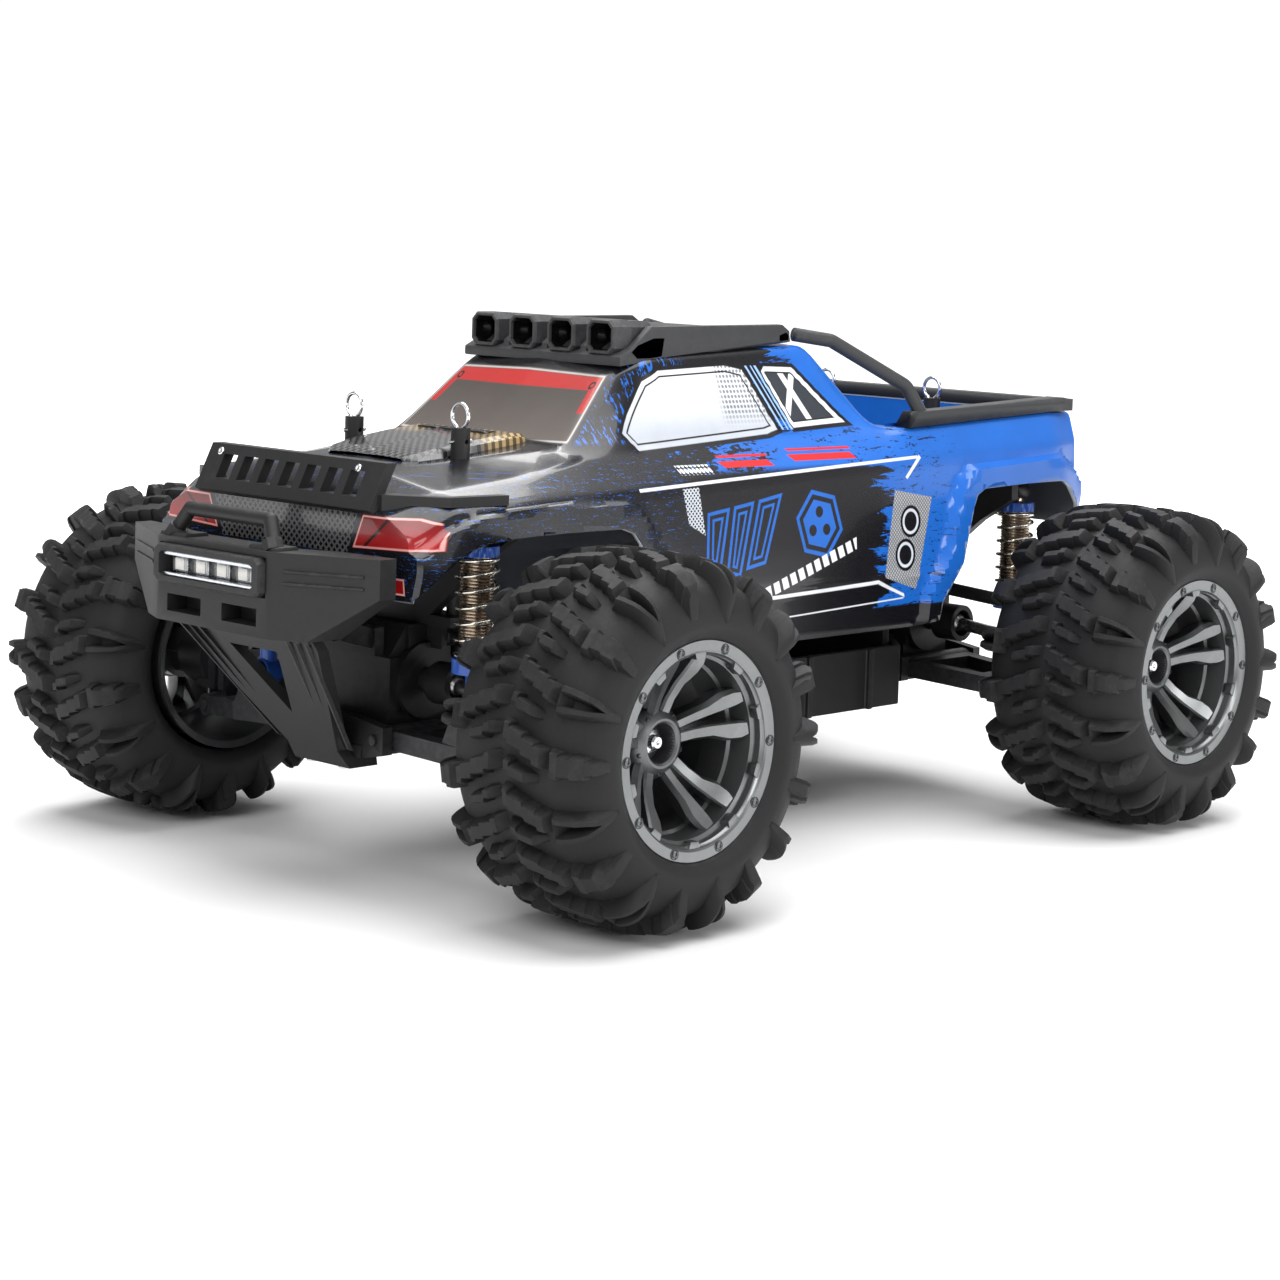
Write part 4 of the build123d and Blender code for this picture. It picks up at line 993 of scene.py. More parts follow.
# (offset from the middle plane, radius) on the outer half, from the crown to the bead
CARCASS = ((0.0, 40.9), (7.0, 40.7), (12.6, 40.1), (16.8, 38.9), (19.8, 37.0), (21.8, 34.2),
           (23.1, 31.2), (23.3, 28.4), (21.6, 25.9))
LUG_TOPS = ((0.0, 44.0), (7.0, 43.9), (13.0, 43.5), (18.2, 42.4), (21.6, 40.6), (23.8, 37.4),
            (24.3, 33.6), (23.6, 29.0), (21.6, 25.9))


def along_line(points, distance):
    """Point at a distance along a broken line, or its end."""
    for a, b in zip(points, points[1:]):
        step = math.dist(a, b)
        if distance <= step:
            t = distance / step
            return (a[0] + (b[0] - a[0]) * t, a[1] + (b[1] - a[1]) * t)
        distance -= step
    return points[-1]


def smooth_line(points, count):
    """Catmull-Rom points through a broken line."""
    padded = [points[0], *points, points[-1]]
    result = []
    for i in range(len(points) - 1):
        p0, p1, p2, p3 = (Vector(p) for p in padded[i : i + 4])
        for k in range(count):
            t = k / count
            result.append(tuple(0.5 * (
                2 * p1 + (p2 - p0) * t + (2 * p0 - 5 * p1 + 4 * p2 - p3) * t * t
                + (3 * p1 - p0 - 3 * p2 + p3) * t * t * t
            )))
    result.append(points[-1])
    return result


CARCASS_LINE = smooth_line(CARCASS, 5)
TOP_LINE = smooth_line(LUG_TOPS, 5)
TOP_STRETCH = 1.03


def tread_point(around, across, lift):
    """A point on the tread; around and across in millimetres, lift 0 carcass to 1 lug top."""
    side = 1.0 if across >= 0 else -1.0
    low = along_line(CARCASS_LINE, abs(across))
    high = along_line(TOP_LINE, abs(across) * TOP_STRETCH)
    offset = low[0] + (high[0] - low[0]) * lift
    radius = low[1] + (high[1] - low[1]) * lift
    angle = around / TYRE_R
    return (radius * math.sin(angle), side * offset, radius * math.cos(angle))


# Each lug is a run of (across, start around, end around) stations in one pitch of this length.
LUG_PITCH = 16.2
LUG_STEP = 1.6
LUG_CHEVRON = ((0.6, -2.0, 2.8), (3.4, -1.2, 3.5), (3.5, -0.4, 4.3), (7.6, 0.8, 5.4), (7.7, 1.6, 6.3),
               (11.0, 2.6, 7.2), (11.1, 3.2, 8.2), (14.6, 4.0, 9.2))
LUG_CENTRE = ((1.2, 7.2, 10.0), (4.2, 7.9, 10.9), (4.3, 8.8, 11.8), (8.4, 10.0, 12.8), (10.4, 10.9, 13.0))
LUG_RAIL_A = ((14.0, 3.7, 6.0), (18.6, 4.2, 6.4), (23.2, 5.0, 7.2), (27.0, 6.6, 8.6), (28.8, 7.2, 8.8))
LUG_RAIL_B = ((14.0, 9.0, 11.3), (18.6, 8.9, 11.2), (23.2, 8.5, 10.7), (27.0, 7.4, 9.6), (28.8, 7.0, 8.8))
LUG_BRIDGE = ((13.8, 4.2, 10.8), (17.0, 4.6, 10.8))
LUG_BLOCK = ((14.0, 3.6, 10.6), (17.4, 4.0, 10.9), (17.5, 4.7, 10.2), (20.4, 5.0, 10.3),
             (20.5, 4.4, 10.8), (23.4, 4.9, 10.8), (23.5, 5.6, 10.0), (27.4, 6.2, 9.6))


def lug_stations(stations):
    """The stations of a lug with even steps between them."""
    fine = []
    for a, b in zip(stations, stations[1:]):
        steps = max(1, round((b[0] - a[0]) / LUG_STEP))
        for k in range(steps):
            t = k / steps
            fine.append(tuple(a[i] + (b[i] - a[i]) * t for i in range(3)))
    fine.append(stations[-1])
    return fine


def raise_lug(shape, stations, shift, side, scale):
    """One chamfered lug on the carcass, sunk a little at its ends and foot."""
    rows = []
    fine = lug_stations(stations)
    last = len(fine) - 1
    for index, (across, start, end) in enumerate(fine):
        top = {0: 0.0, last: 0.0, 1: 0.97, last - 1: 0.97}.get(index, 1.0)
        nudge = {0: -0.25, last: 0.25}.get(index, 0.0)
        start = start * scale + shift
        end = end * scale + shift
        chamfer = min(0.5, (end - start) * 0.25)
        section_points = (
            (start - 0.35, -0.25),
            (start, top * 0.72),
            (start + chamfer, top),
            (end - chamfer, top),
            (end, top * 0.72),
            (end + 0.35, -0.25),
        )
        rows.append([tread_point(around, side * (across + nudge), lift) for around, lift in section_points])
    shape.rows(rows)


SHOULDER_LUGS = ((LUG_BLOCK,), (LUG_RAIL_A, LUG_RAIL_B, LUG_BRIDGE))
TYRE_INSIDE = ((20.4, 25.2), (20.0, 27.5), (16.0, 36.0))
SIDEWALL_BEADS = ((28.6, 23.15), (30.4, 23.1))


def draw_tyre():
    """Hollow carcass, sidewall beads, chevrons, and stepped and triangular shoulder lugs in turn."""
    shape = Shape()
    half = [*CARCASS_LINE, *TYRE_INSIDE]
    profile = [(-offset, radius) for offset, radius in reversed(half[1:])] + half
    shape.lathe(profile, segments=120)
    for radius, offset in SIDEWALL_BEADS:
        for side in (1, -1):
            bead = [(side * (offset - 0.3), radius - 0.35), (side * (offset + 0.12), radius),
                    (side * (offset - 0.3), radius + 0.35)]
            shape.lathe(bead, segments=120, closed=False)
    pitches = sizes().lug_pitches
    pitch = 2 * math.pi * TYRE_R / pitches
    for i in range(pitches):
        for side in (1, -1):
            shift = i * pitch + (pitch / 2 if side < 0 else 0.0)
            for lug in (LUG_CHEVRON, LUG_CENTRE, *SHOULDER_LUGS[i % 2]):
                raise_lug(shape, lug, shift, side, pitch / LUG_PITCH)
    return shape.mesh("tyre_mesh", merge=1e-3, move=False)


def polar(radius, angle, offset):
    return Vector((radius * math.sin(angle), offset, radius * math.cos(angle)))


# The spokes, bead ring and notches take the lighter copy of the rim titanium, a painted highlight; the webs,
# barrel and dome keep the plain titanium.
RIM_MATERIALS = ("rim_titanium", "rim_face", "rim_dark", "chrome_steel")
TITANIUM, LIT_FACE, DARK, CHROME = range(4)
BEAD_BOLTS = 10
SPOKE_PAIRS = 5
SPOKE_SECTIONS = (
    # radius, near edge angle, far edge angle, top offset, depth
    (7.2, 0.045, 0.48, 8.6, 5.4),
    (10.4, 0.060, 0.36, 9.9, 5.2),
    (14.2, 0.075, 0.31, 12.2, 5.0),
    (17.4, 0.090, 0.35, 14.6, 5.0),
    (19.6, 0.100, 0.33, 16.2, 5.2),
    (21.9, 0.120, 0.27, 17.6, 5.6),
)


def hexagon(radius):
    return [(radius * math.cos(math.pi * k / 3), radius * math.sin(math.pi * k / 3)) for k in range(6)]


def polar_outline(points):
    """Flat outline of (radius, angle) points, for a prism along the wheel's axis."""
    return [(radius * math.sin(angle), radius * math.cos(angle)) for radius, angle in points]


def draw_bead_ring(shape):
    """Flat outer ring with screws in cups and notches between them, and the stepped barrel."""
    face = RIM_FACE
    ring = [(face - 3.2, 25.7), (face - 0.5, 25.7), (face, 25.3), (face, 23.0), (face - 0.35, 22.5),
            (face - 0.9, 22.3), (face - 1.3, 21.9), (face - 2.6, 21.7), (face - 3.2, 22.2)]
    shape.tint = LIT_FACE
    shape.lathe(ring, segments=120)
    shape.tint = TITANIUM
    barrel = [(face - 3.0, 22.0), (face - 3.6, 21.0), (12.0, 20.6), (11.4, 19.9), (4.0, 19.5),
              (3.4, 20.6), (-16.0, 21.4), (-23.0, 22.6), (-23.8, 24.4), (-22.6, 24.4), (-20.0, 22.9),
              (16.0, 22.6), (face - 3.4, 23.0)]
    shape.lathe(barrel, segments=96)
    for i in range(BEAD_BOLTS):
        angle = 2 * math.pi * (i + 0.5) / BEAD_BOLTS
        centre = polar(23.85, angle, face)
        shape.tint = DARK
        cup = [
            ring_points(centre + Vector((0, rise, 0)), Vector((1, 0, 0)), Vector((0, 0, 1)), reach, 16)
            for rise, reach in ((-0.1, 1.35), (0.12, 1.3), (0.12, 1.05), (-0.15, 1.0))
        ]
        shape.rows(cup, closed=True)
        shape.tint = TITANIUM
        shape.bolt(centre - Vector((0, 0.05, 0)), 0.85, 0.55, (0, 1, 0), 12)
        shape.tint = LIT_FACE
        middle = angle + math.pi / BEAD_BOLTS
        notch = polar_outline([(22.9, middle - 0.09), (22.9, middle + 0.09), (20.9, middle + 0.065),
                               (20.9, middle - 0.065)])
        shape.prism(notch, face - 3.0, face - 0.6, bevel=0.25)


def draw_spoke(shape, middle, hand):
    """Half of a split spoke, its top edge chamfered."""
    rows = []
    for radius, near, far, top, depth in SPOKE_SECTIONS:
        chamfer = 0.8 / radius
        cut = [
            polar(radius, middle + hand * near, top - depth),
            polar(radius, middle + hand * near, top - 0.7),
            polar(radius, middle + hand * (near + chamfer * 0.5), top),
            polar(radius, middle + hand * (far - chamfer), top + 0.25),
            polar(radius, middle + hand * far, top - 1.3),
            polar(radius, middle + hand * (far - 0.02), top - depth),
        ]
        rows.append(cut if hand > 0 else cut[::-1])
    shape.rows(rows, closed=True, capped=True)


def draw_hub(shape):
    """Domed hub with its fixings, wheel nut, stub axle with drive cup, and wheel hex."""
    shape.tint = TITANIUM
    dome = [(3.4, 4.7), (3.4, 8.8), (6.4, 8.8), (7.6, 8.3), (8.8, 7.2), (9.4, 6.3), (9.7, 5.8),
            (9.7, 5.2), (9.3, 4.7)]
    shape.lathe(dome, segments=60)
    shape.tint = DARK
    shape.lathe([(9.3, 4.72), (2.6, 4.6), (2.5, 0.1), (1.6, 0.1), (1.6, 4.9), (9.3, 4.9)], segments=40)
    for i in range(SPOKE_PAIRS):
        shape.bolt(polar(7.0, 2 * math.pi * (i + 0.5) / SPOKE_PAIRS, 8.5), 0.7, 0.6, (0, 1, 0), 10)
    shape.tint = CHROME
    shape.prism(hexagon(3.3), 3.0, 6.2, bevel=0.4)
    axle_tip = [(3.0, 0.05), (7.8, 0.05), (8.2, 0.6), (8.2, 1.3), (7.8, 1.7), (3.0, 1.7)]
    shape.lathe(axle_tip, 24)
    axle_and_cup = [(-21.3, 0.05), (-21.3, 4.2), (-20.6, 4.9), (-15.0, 4.9), (-15.0, 2.0), (2.0, 2.0),
                    (2.0, 0.05)]
    shape.lathe(axle_and_cup, 32)
    shape.lathe([(-21.35, 2.0), (-21.35, 3.7), (-20.9, 3.7), (-20.9, 2.0)], 32)
    shape.tint = DARK
    shape.prism(hexagon(6.9), -8.5, -2.0, bevel=0.4)
    shape.tint = TITANIUM
    shape.lathe([(-2.0, 2.2), (-2.0, 8.2), (4.4, 8.2), (4.4, 2.2)], 48)


def draw_rim():
    """A whole wheel disc; +Y is outboard."""
    shape = Shape()
    draw_bead_ring(shape)
    for pair in range(SPOKE_PAIRS):
        middle = 2 * math.pi * pair / SPOKE_PAIRS
        shape.tint = LIT_FACE
        for hand in (1, -1):
            draw_spoke(shape, middle, hand)
        shape.tint = TITANIUM
        web = polar_outline([(8.0, middle - 0.12), (8.0, middle + 0.12), (21.6, middle + 0.10),
                             (21.6, middle - 0.10)])
        shape.prism(web, 4.4, 7.2, bevel=0.2)
    draw_hub(shape)
    return shape.mesh("rim_mesh", merge=1e-3, move=False)


def wheel_place(fore, side):
    """Where a wheel drawn at the origin goes; the right ones face the other way."""
    centre = at(fore * HALF_BASE, side * WHEEL_Y, AXLE_Z)
    turn = Matrix.Rotation(math.pi, 4, "Z") if side < 0 else Matrix.Identity(4)
    return Matrix.Translation(centre) @ turn


# ---- body shell -----------------------------------------------------------------------

# Half sections of the body, front to rear: x, then (half width, height) from sill to centre line.
STATIONS = (
    (134.0, ((45, 73), (47, 80), (46, 88), (38, 92.5), (22, 94.5), (0, 95))),
    (124.0, ((49, 60), (50, 80), (49.5, 94), (42, 98), (22, 101), (0, 101.6))),
    (96.0, ((49.5, 54), (50.2, 76), (49.5, 95.4), (41, 100.4), (22, 103.6), (0, 104.2))),
    (71.0, ((49.5, 54), (51, 69), (49.4, 96.2), (38.5, 103.6), (32, 106.2), (0, 107.4))),
    (51.0, ((49.5, 54), (51.4, 69), (49.2, 97), (38.5, 104.6), (27, 124.4), (0, 126.2))),
    (42.0, ((49.5, 54), (51.4, 69), (49, 97.4), (38.6, 105), (29.6, 127.6), (0, 129.6))),
    (-20.0, ((49.5, 54), (51.4, 69), (48.8, 99.8), (39.6, 108.4), (30.4, 130.6), (0, 132))),
    (-31.0, ((49.5, 54), (51.2, 68), (48.8, 100.2), (40.6, 109), (33.4, 119.6), (0, 120.6))),
    (-38.0, ((49.5, 54), (51, 67), (48.8, 100.4), (42.5, 108.4), (39, 109.4), (0, 110))),
    (-48.0, ((49.5, 54), (50.8, 66), (48.8, 100.8), (45.6, 108.2), (39, 108.4), (0, 108.4))),
    (-112.0, ((49.5, 58), (50.2, 76), (49, 102.6), (45.6, 111), (39, 111.2), (0, 111.2))),
    (-124.0, ((45, 78), (47, 86), (46.4, 102.8), (44, 110.6), (39, 111.2), (0, 111.2))),
)
FRONT_ARCH = ((135.6, 50), (134.6, 74), (129.5, 79.6), (124.0, 84.0), (116, 86.6), (104, 87.4),
              (90, 87.7), (71, 87.6), (67, 86.3), (64.5, 83.4), (54, 56), (53.6, 50))
REAR_ARCH = ((-55.5, 50), (-57, 60.6), (-65, 71), (-69.7, 86), (-71.4, 89.4), (-75, 91), (-95, 91.6),
             (-112.0, 91.6), (-116.4, 89.6), (-122, 84), (-126, 77.4), (-126, 50))
NOSE_END, TAIL_END = STATIONS[0][0], STATIONS[-1][0]
STATION_STEP = 1.7
# Where the bed opens: its reach along and across the truck, and the height it lies above.
BED_X = (-117.4, -44.6)
BED_Y = 39.4
BED_CUT_Z = 104
BED_FLOOR_Z = 94.6
WALL = 1.2
# Points drawn between each two keys of a half section.
COLUMN_COUNTS = (5, 14, 5, 9, 12)


def section(x):
    """The six key points of the half section at x."""
    if x >= NOSE_END:
        return [Vector(p) for p in STATIONS[0][1]]
    for (x0, keys0), (x1, keys1) in zip(STATIONS, STATIONS[1:]):
        if x1 <= x <= x0:
            t = (x0 - x) / (x0 - x1)
            return [Vector(a).lerp(Vector(b), t) for a, b in zip(keys0, keys1)]
    return [Vector(p) for p in STATIONS[-1][1]]


def eased_section(x):
    """Section keys averaged over a few millimetres, which rounds the creases across."""
    offsets = (-2.2, -1.1, 0.0, 1.1, 2.2)
    found = [section(min(NOSE_END, max(TAIL_END, x + offset))) for offset in offsets]
    return [sum((f[i] for f in found), Vector((0, 0))) / len(found) for i in range(6)]


def half_profile(keys, reach=1.6):
    """Points from the sill to the centre line, with rounded corners."""
    points = []
    for i, count in enumerate(COLUMN_COUNTS):
        a, b = keys[i], keys[i + 1]
        length = (b - a).length
        near = min(reach, length * 0.35) if i else 0.0
        last = i == len(COLUMN_COUNTS) - 1
        far = 0.0 if last else min(reach, length * 0.35)
        along = (b - a).normalized()
        start, end = a + along * near, b - along * far
        points += [start.lerp(end, k / count) for k in range(count + 1)]
        if not last:
            onward = keys[i + 2] - b
            leave = b + onward.normalized() * min(reach, onward.length * 0.35)
            for t in (0.33, 0.67):
                points.append(end * (1 - t) ** 2 + b * (2 * t * (1 - t)) + leave * t * t)
    return points


def outline_gap(x, z, outline):
    """Distance from a point to a closed outline, negative inside."""
    inside = False
    best = 1e9
    for a, b in sides_of(outline):
        if (a[1] > z) != (b[1] > z):
            if x < a[0] + (z - a[1]) * (b[0] - a[0]) / (b[1] - a[1]):
                inside = not inside
        ab = Vector((b[0] - a[0], b[1] - a[1]))
        ap = Vector((x - a[0], z - a[1]))
        t = min(1.0, max(0.0, ap.dot(ab) / ab.length_squared))
        best = min(best, (ap - ab * t).length)
    return -best if inside else best


def smooth_step(value, low, high):
    t = min(1.0, max(0.0, (value - low) / (high - low)))
    return t * t * (3 - 2 * t)


FLARE_WIDTH = 7.0
WINDOW_DEPTH = 0.55
SILL_RIB = 0.5


def side_lift(x, z):
    """How far the side stands out at a point: arch flares and the sill rib out, windows in."""
    lift = 0.0
    for arch in (FRONT_ARCH, REAR_ARCH):
        if abs(x - arch[0][0]) < 100:
            gap = outline_gap(x, z, arch)
            if gap < FLARE_WIDTH + 2:
                flare = 1.0 - smooth_step(gap, FLARE_WIDTH - 1.4, FLARE_WIDTH + 0.2)
                lift = max(lift, sizes().flare_height * flare)
    for window in (DOOR_WINDOW, QUARTER_WINDOW):
        if z > 103 and -30 < x < 56:
            gap = outline_gap(x, z, window)
            lift -= WINDOW_DEPTH * (1.0 - smooth_step(gap, -0.5, 0.3))
    if -50 < x < 60 and z < 98:
        sill = 66.7 - 0.03 * x
        lift += SILL_RIB * (1.0 - smooth_step(abs(z - sill), 0.2, 1.4))
    return lift


def slice_faces(bm, faces, point, normal):
    """Cuts some faces along a plane."""
    geometry = set(faces)
    for face in faces:
        geometry.update(face.edges)
        geometry.update(face.verts)
    bmesh.ops.bisect_plane(bm, geom=list(geometry), dist=1e-4, plane_co=point, plane_no=normal)


def cut_side(bm, outline, side):
    """Slices one side wall along an outline and takes out what is inside it."""
    margin = 4
    low_x = min(p[0] for p in outline) - margin
    high_x = max(p[0] for p in outline) + margin
    low_z = min(p[1] for p in outline) - margin
    high_z = max(p[1] for p in outline) + margin

    def wall_faces():
        for face in bm.faces:
            c = face.calc_center_median()
            inside = low_x < c.x < high_x and low_z < c.z < high_z
            if inside and c.y * side > 30 and abs(face.normal.y) > 0.25:
                yield face, Vector((c.x, c.z))

    for a, b in sides_of(outline):
        a, b = Vector(a), Vector(b)
        reach = (b - a).length / 2 + margin
        middle = (a + b) / 2
        near = [face for face, c in wall_faces() if (c - middle).length < reach]
        across = Vector((b.y - a.y, a.x - b.x)).normalized()
        slice_faces(bm, near, (a.x, 0, a.y), (across.x, 0, across.y))
    gone = [face for face, c in wall_faces() if outline_gap(c.x, c.y, outline) < 0]
    bmesh.ops.delete(bm, geom=gone, context="FACES")


def cut_bed(bm):
    """Opens the top over the cargo bed."""
    for limit in BED_X:
        top = []
        for face in bm.faces:
            c = face.calc_center_median()
            if c.z > BED_CUT_Z and abs(c.y) < 45:
                top.append(face)
        slice_faces(bm, top, (limit, 0, 0), (1, 0, 0))
    gone = []
    for face in bm.faces:
        c = face.calc_center_median()
        if BED_X[0] < c.x < BED_X[1] and abs(c.y) < BED_Y and c.z > BED_CUT_Z:
            gone.append(face)
    bmesh.ops.delete(bm, geom=gone, context="FACES")


def left_half(xs, profiles, i):
    """The left side of one section, with its flares, windows and ribs pushed out or in."""
    ahead, behind = max(i - 1, 0), min(i + 1, len(xs) - 1)
    profile = profiles[i]
    points = []
    for j, p in enumerate(profile):
        down, up = profile[max(j - 1, 0)], profile[min(j + 1, len(profile) - 1)]
        slope = (profiles[behind][j] - profiles[ahead][j]) / (xs[behind] - xs[ahead])
        along = Vector((1.0, slope.x, slope.y))
        across = Vector((0.0, up.x - down.x, up.y - down.y))
        normal = along.cross(across).normalized()
        if normal.y < 0 or (abs(normal.y) < 0.05 and normal.z < 0):
            normal = -normal
        point = Vector((xs[i], p.x, p.y))
        if normal.y > 0.35:
            point += Vector((0, 1, 0.25)) * side_lift(xs[i], p.y)
        points.append(point)
    return points


def end_lip(row, middle, depth):
    """A slightly smaller section just past an end one, which rounds the edge of the end."""
    return [Vector((p.x + depth, p.y * 0.975, middle + (p.z - middle) * 0.965)) for p in row]


def draw_body_shell():
    """The moulded shell with its arches and bed cut out; its thickness comes from a modifier."""
    shape = Shape()
    steps = math.ceil((NOSE_END - TAIL_END) / STATION_STEP)
    xs = [NOSE_END - STATION_STEP * i for i in range(steps)] + [TAIL_END]
    profiles = [half_profile(eased_section(x)) for x in xs]
    rows = []
    for i in range(len(xs)):
        left = left_half(xs, profiles, i)
        right = [Vector((p.x, -p.y, p.z)) for p in left[:-1]]
        rows.append(left + right[::-1])
    rows = [end_lip(rows[0], 84.0, 0.9), *rows, end_lip(rows[-1], 95.0, -0.7)]
    laid = shape.rows(rows)
    shape.face(laid[0])
    shape.face(laid[-1][::-1])
    bm = shape.bm
    bmesh.ops.recalc_face_normals(bm, faces=bm.faces)
    bm.normal_update()
    for side in (1, -1):
        cut_side(bm, FRONT_ARCH, side)
        cut_side(bm, REAR_ARCH, side)
    cut_bed(bm)
    loose = [v for v in bm.verts if not v.link_faces]
    bmesh.ops.delete(bm, geom=loose, context="VERTS")
    return shape.mesh("body_shell_mesh", merge=1e-3)


BED_RIBS = 8
BED_LINES = (-99, -80, -62)


def draw_bed():
    """Ribbed bed floor, its walls and the rolled edge of the opening."""
    shape = Shape()
    x0, x1 = BED_X
    floor = BED_FLOOR_Z
    foot = floor - 0.1
    shape.tint = 1
    steps = [(-38.6, floor)]
    for i in range(BED_RIBS):
        middle = -36 + 72 * (i + 0.5) / BED_RIBS
        steps += [(middle - 3.6, floor), (middle - 2.6, floor + 0.9), (middle + 2.6, floor + 0.9),
                  (middle + 3.6, floor)]
    steps.append((38.6, floor))
    shape.rows([[(x, y, z) for y, z in steps] for x in (x0 + 0.5, *BED_LINES, x1 - 0.5)])
    shape.tint = 0
    for y in (BED_Y, -BED_Y):
        rows = []
        for reach, share, height in ((0.8, 1.012, 111.1), (0.0, 1.0, 111.0)):
            rows.append([
                (x, y * share, height - 0.028 * max(0, x + 112))
                for x in (x0 - reach, *BED_LINES, x1 + reach)
            ])
        rows.append([(x, y * 0.978, foot) for x in (x0 + 0.6, *BED_LINES, x1 - 0.6)])
        shape.rows(rows)
    for x, lean, top in ((x0, 0.6, 111.1), (x1, -0.6, 108.6)):
        rows = []
        for shift, end, height in ((-lean * 1.3, BED_Y + 0.4, top), (lean * 0.2, BED_Y, top - 0.4),
                                   (lean, BED_Y * 0.978, foot)):
            rows.append([(x + shift, y, height) for y in (-end, -20, 0, 20, end)])
        shape.rows(rows)
    return shape.mesh("bed_mesh")


SCOOP_SECTIONS = (
    # x, half width, top, foot
    (109.5, 15.0, 103.4, 102.4),
    (107.0, 17.2, 104.6, 102.4),
    (100.0, 18.2, 106.0, 102.6),
    (88.0, 18.8, 107.6, 103.4),
    (76.0, 19.0, 108.9, 104.6),
    (72.4, 18.8, 108.6, 105.4),
    (71.4, 18.4, 107.0, 105.8),
)


def draw_scoop():
    """Raised hood scoop with a sloped front lip and three vents."""
    shape = Shape()
    rows = []
    for x, half, height, foot in SCOOP_SECTIONS:
        edge = [(half, foot - 0.6), (half - 0.5, height - 1.2), (half - 1.8, height - 0.1),
                (6.0, height + 0.15)]
        right = [(x, -y, z) for y, z in edge]
        left = [(x, y, z) for y, z in reversed(edge)]
        rows.append([*right, (x, 0, height + 0.1), *left])
    shape.rows(rows)
    shape.tint = 1
    for y in (-9.0, 0.0, 9.0):
        shape.block((77.0, y - 3.6, 108.0), (81.0, y + 3.6, 109.0), bevel=0.35)
    return shape.mesh("scoop_mesh")


# ---- suspension, clips and lamps ------------------------------------------------------


def axis_of(node):
    """Vertical axis of an upright piece, in millimetres from the row frame."""
    middle = centre_mm(node)
    return middle.x - MID_X, middle.y


SPRING_WIRE = 0.55
SPRING_TURNS = 8
SPRING_STEPS = SPRING_TURNS * 22
# Share of the height taken by each closed end turn.
END_TURN_RISE = 0.1 / SPRING_TURNS


def spring_rise(t):
    """Share of the height reached at a share of the length, with a closed turn at each end."""
    turn = 1 / SPRING_TURNS
    if t < turn:
        return 0.1 * t
    if t > 1 - turn:
        return 1 - 0.1 * (1 - t)
    return END_TURN_RISE + (t - turn) / (1 - 2 * turn) * (1 - 2 * END_TURN_RISE)


def draw_spring(corner):
    """Coil spring with closed end turns."""
    node = "shock_spring_" + corner
    low, high = box_mm(node)
    x, y = axis_of(node)
    radius = (high.y - low.y) / 2 - SPRING_WIRE
    bottom, top = low.z + SPRING_WIRE, high.z - SPRING_WIRE
    path = []
    for i in range(SPRING_STEPS + 1):
        t = i / SPRING_STEPS
        angle = 2 * math.pi * SPRING_TURNS * t
        z = bottom + (top - bottom) * spring_rise(t)
        path.append((x + radius * math.cos(angle), y + radius * math.sin(angle), z))
    shape = Shape()
    shape.tube(path, SPRING_WIRE, segments=8)
    return shape.mesh(node + "_mesh")


COLLAR_POINTS = 56


def draw_shock_body(corner):
    """Threaded damper body with its ribbed collar and top eye."""
    node = "shock_body_" + corner
    low, high = box_mm(node)
    x, y = axis_of(node)
    eye_z = high.z - 3.0
    shape = Shape()
    thread = [(low.z, 1.6), (low.z, 3.8), (low.z + 0.6, 4.2)]
    z = low.z + 1.0
    while z < eye_z - 7.0:
        thread += [(z, 4.2), (z + 0.28, 3.82), (z + 0.56, 4.2)]
        z += 0.8
    thread += [(eye_z - 4.4, 4.2), (eye_z - 3.6, 3.6), (eye_z - 3.0, 2.2), (eye_z - 2.0, 2.0),
               (eye_z - 2.0, 1.6)]
    shape.lathe(thread, 40, (x, y, 0), "Z")
    shape.tint = 1
    collar = []
    for k in range(COLLAR_POINTS):
        angle = 2 * math.pi * k / COLLAR_POINTS
        reach = 5.3 if k % 4 < 2 else 4.95
        collar.append((x + reach * math.cos(angle), y + reach * math.sin(angle)))
    shape.prism(collar, eye_z - 6.0, eye_z - 3.5, level, bevel=0.12, segments=1)
    shape.tint = 2
    shape.lathe([(-2.6, 1.35), (-2.6, 2.8), (-2.2, 3.0), (2.2, 3.0), (2.6, 2.8), (2.6, 1.35)], 32,
                (x, y, eye_z), "X")
    shape.prism([(x - 1.9, y - 1.9), (x + 1.9, y - 1.9), (x + 1.9, y + 1.9), (x - 1.9, y + 1.9)],
                eye_z - 3.6, eye_z - 2.2, level, bevel=0.3)
    return shape.mesh(node + "_mesh")


CLIP_POSTS = ((96.0, 107.6), (-90.0, 110.6))
CLIP_Y = 20.0
CLIP_WIRE = 0.5
CLIP_SHIFT = 0.2


def draw_body_clips():
    """Upright sprung loops through the four body posts."""
    shape = Shape()
    for x, z in CLIP_POSTS:
        middle = x + CLIP_SHIFT
        for y in (CLIP_Y, -CLIP_Y):
            loop = []
            for k in range(33):
                angle = math.radians(-62 + 304 * k / 32)
                loop.append((middle, y + 2.9 * math.cos(angle), z + 6.3 + 3.0 * math.sin(angle)))
            lead = [(middle, y + reach, z + rise) for reach, rise in ((1.25, 0.2), (0.75, 2.0), (1.0, 3.1))]
            tail = [(middle, y - reach, z + rise) for reach, rise in ((1.0, 3.1), (0.75, 2.0), (1.25, 0.2))]
            shape.tube(lead + loop + tail, CLIP_WIRE, 10)
            shape.tube([(x - 3.6, y, z), (x - 1.0, y, z), (x + 3.8, y, z)], CLIP_WIRE, 10)
            foot = [(x - 3.4, y - 1.0, z + 0.5), (x - 1.0, y - 1.25, z + 0.3), (middle, y - 1.25, z + 0.2)]
            shape.tube(foot, 0.45, 8)
    return shape.mesh("body_clips_mesh")


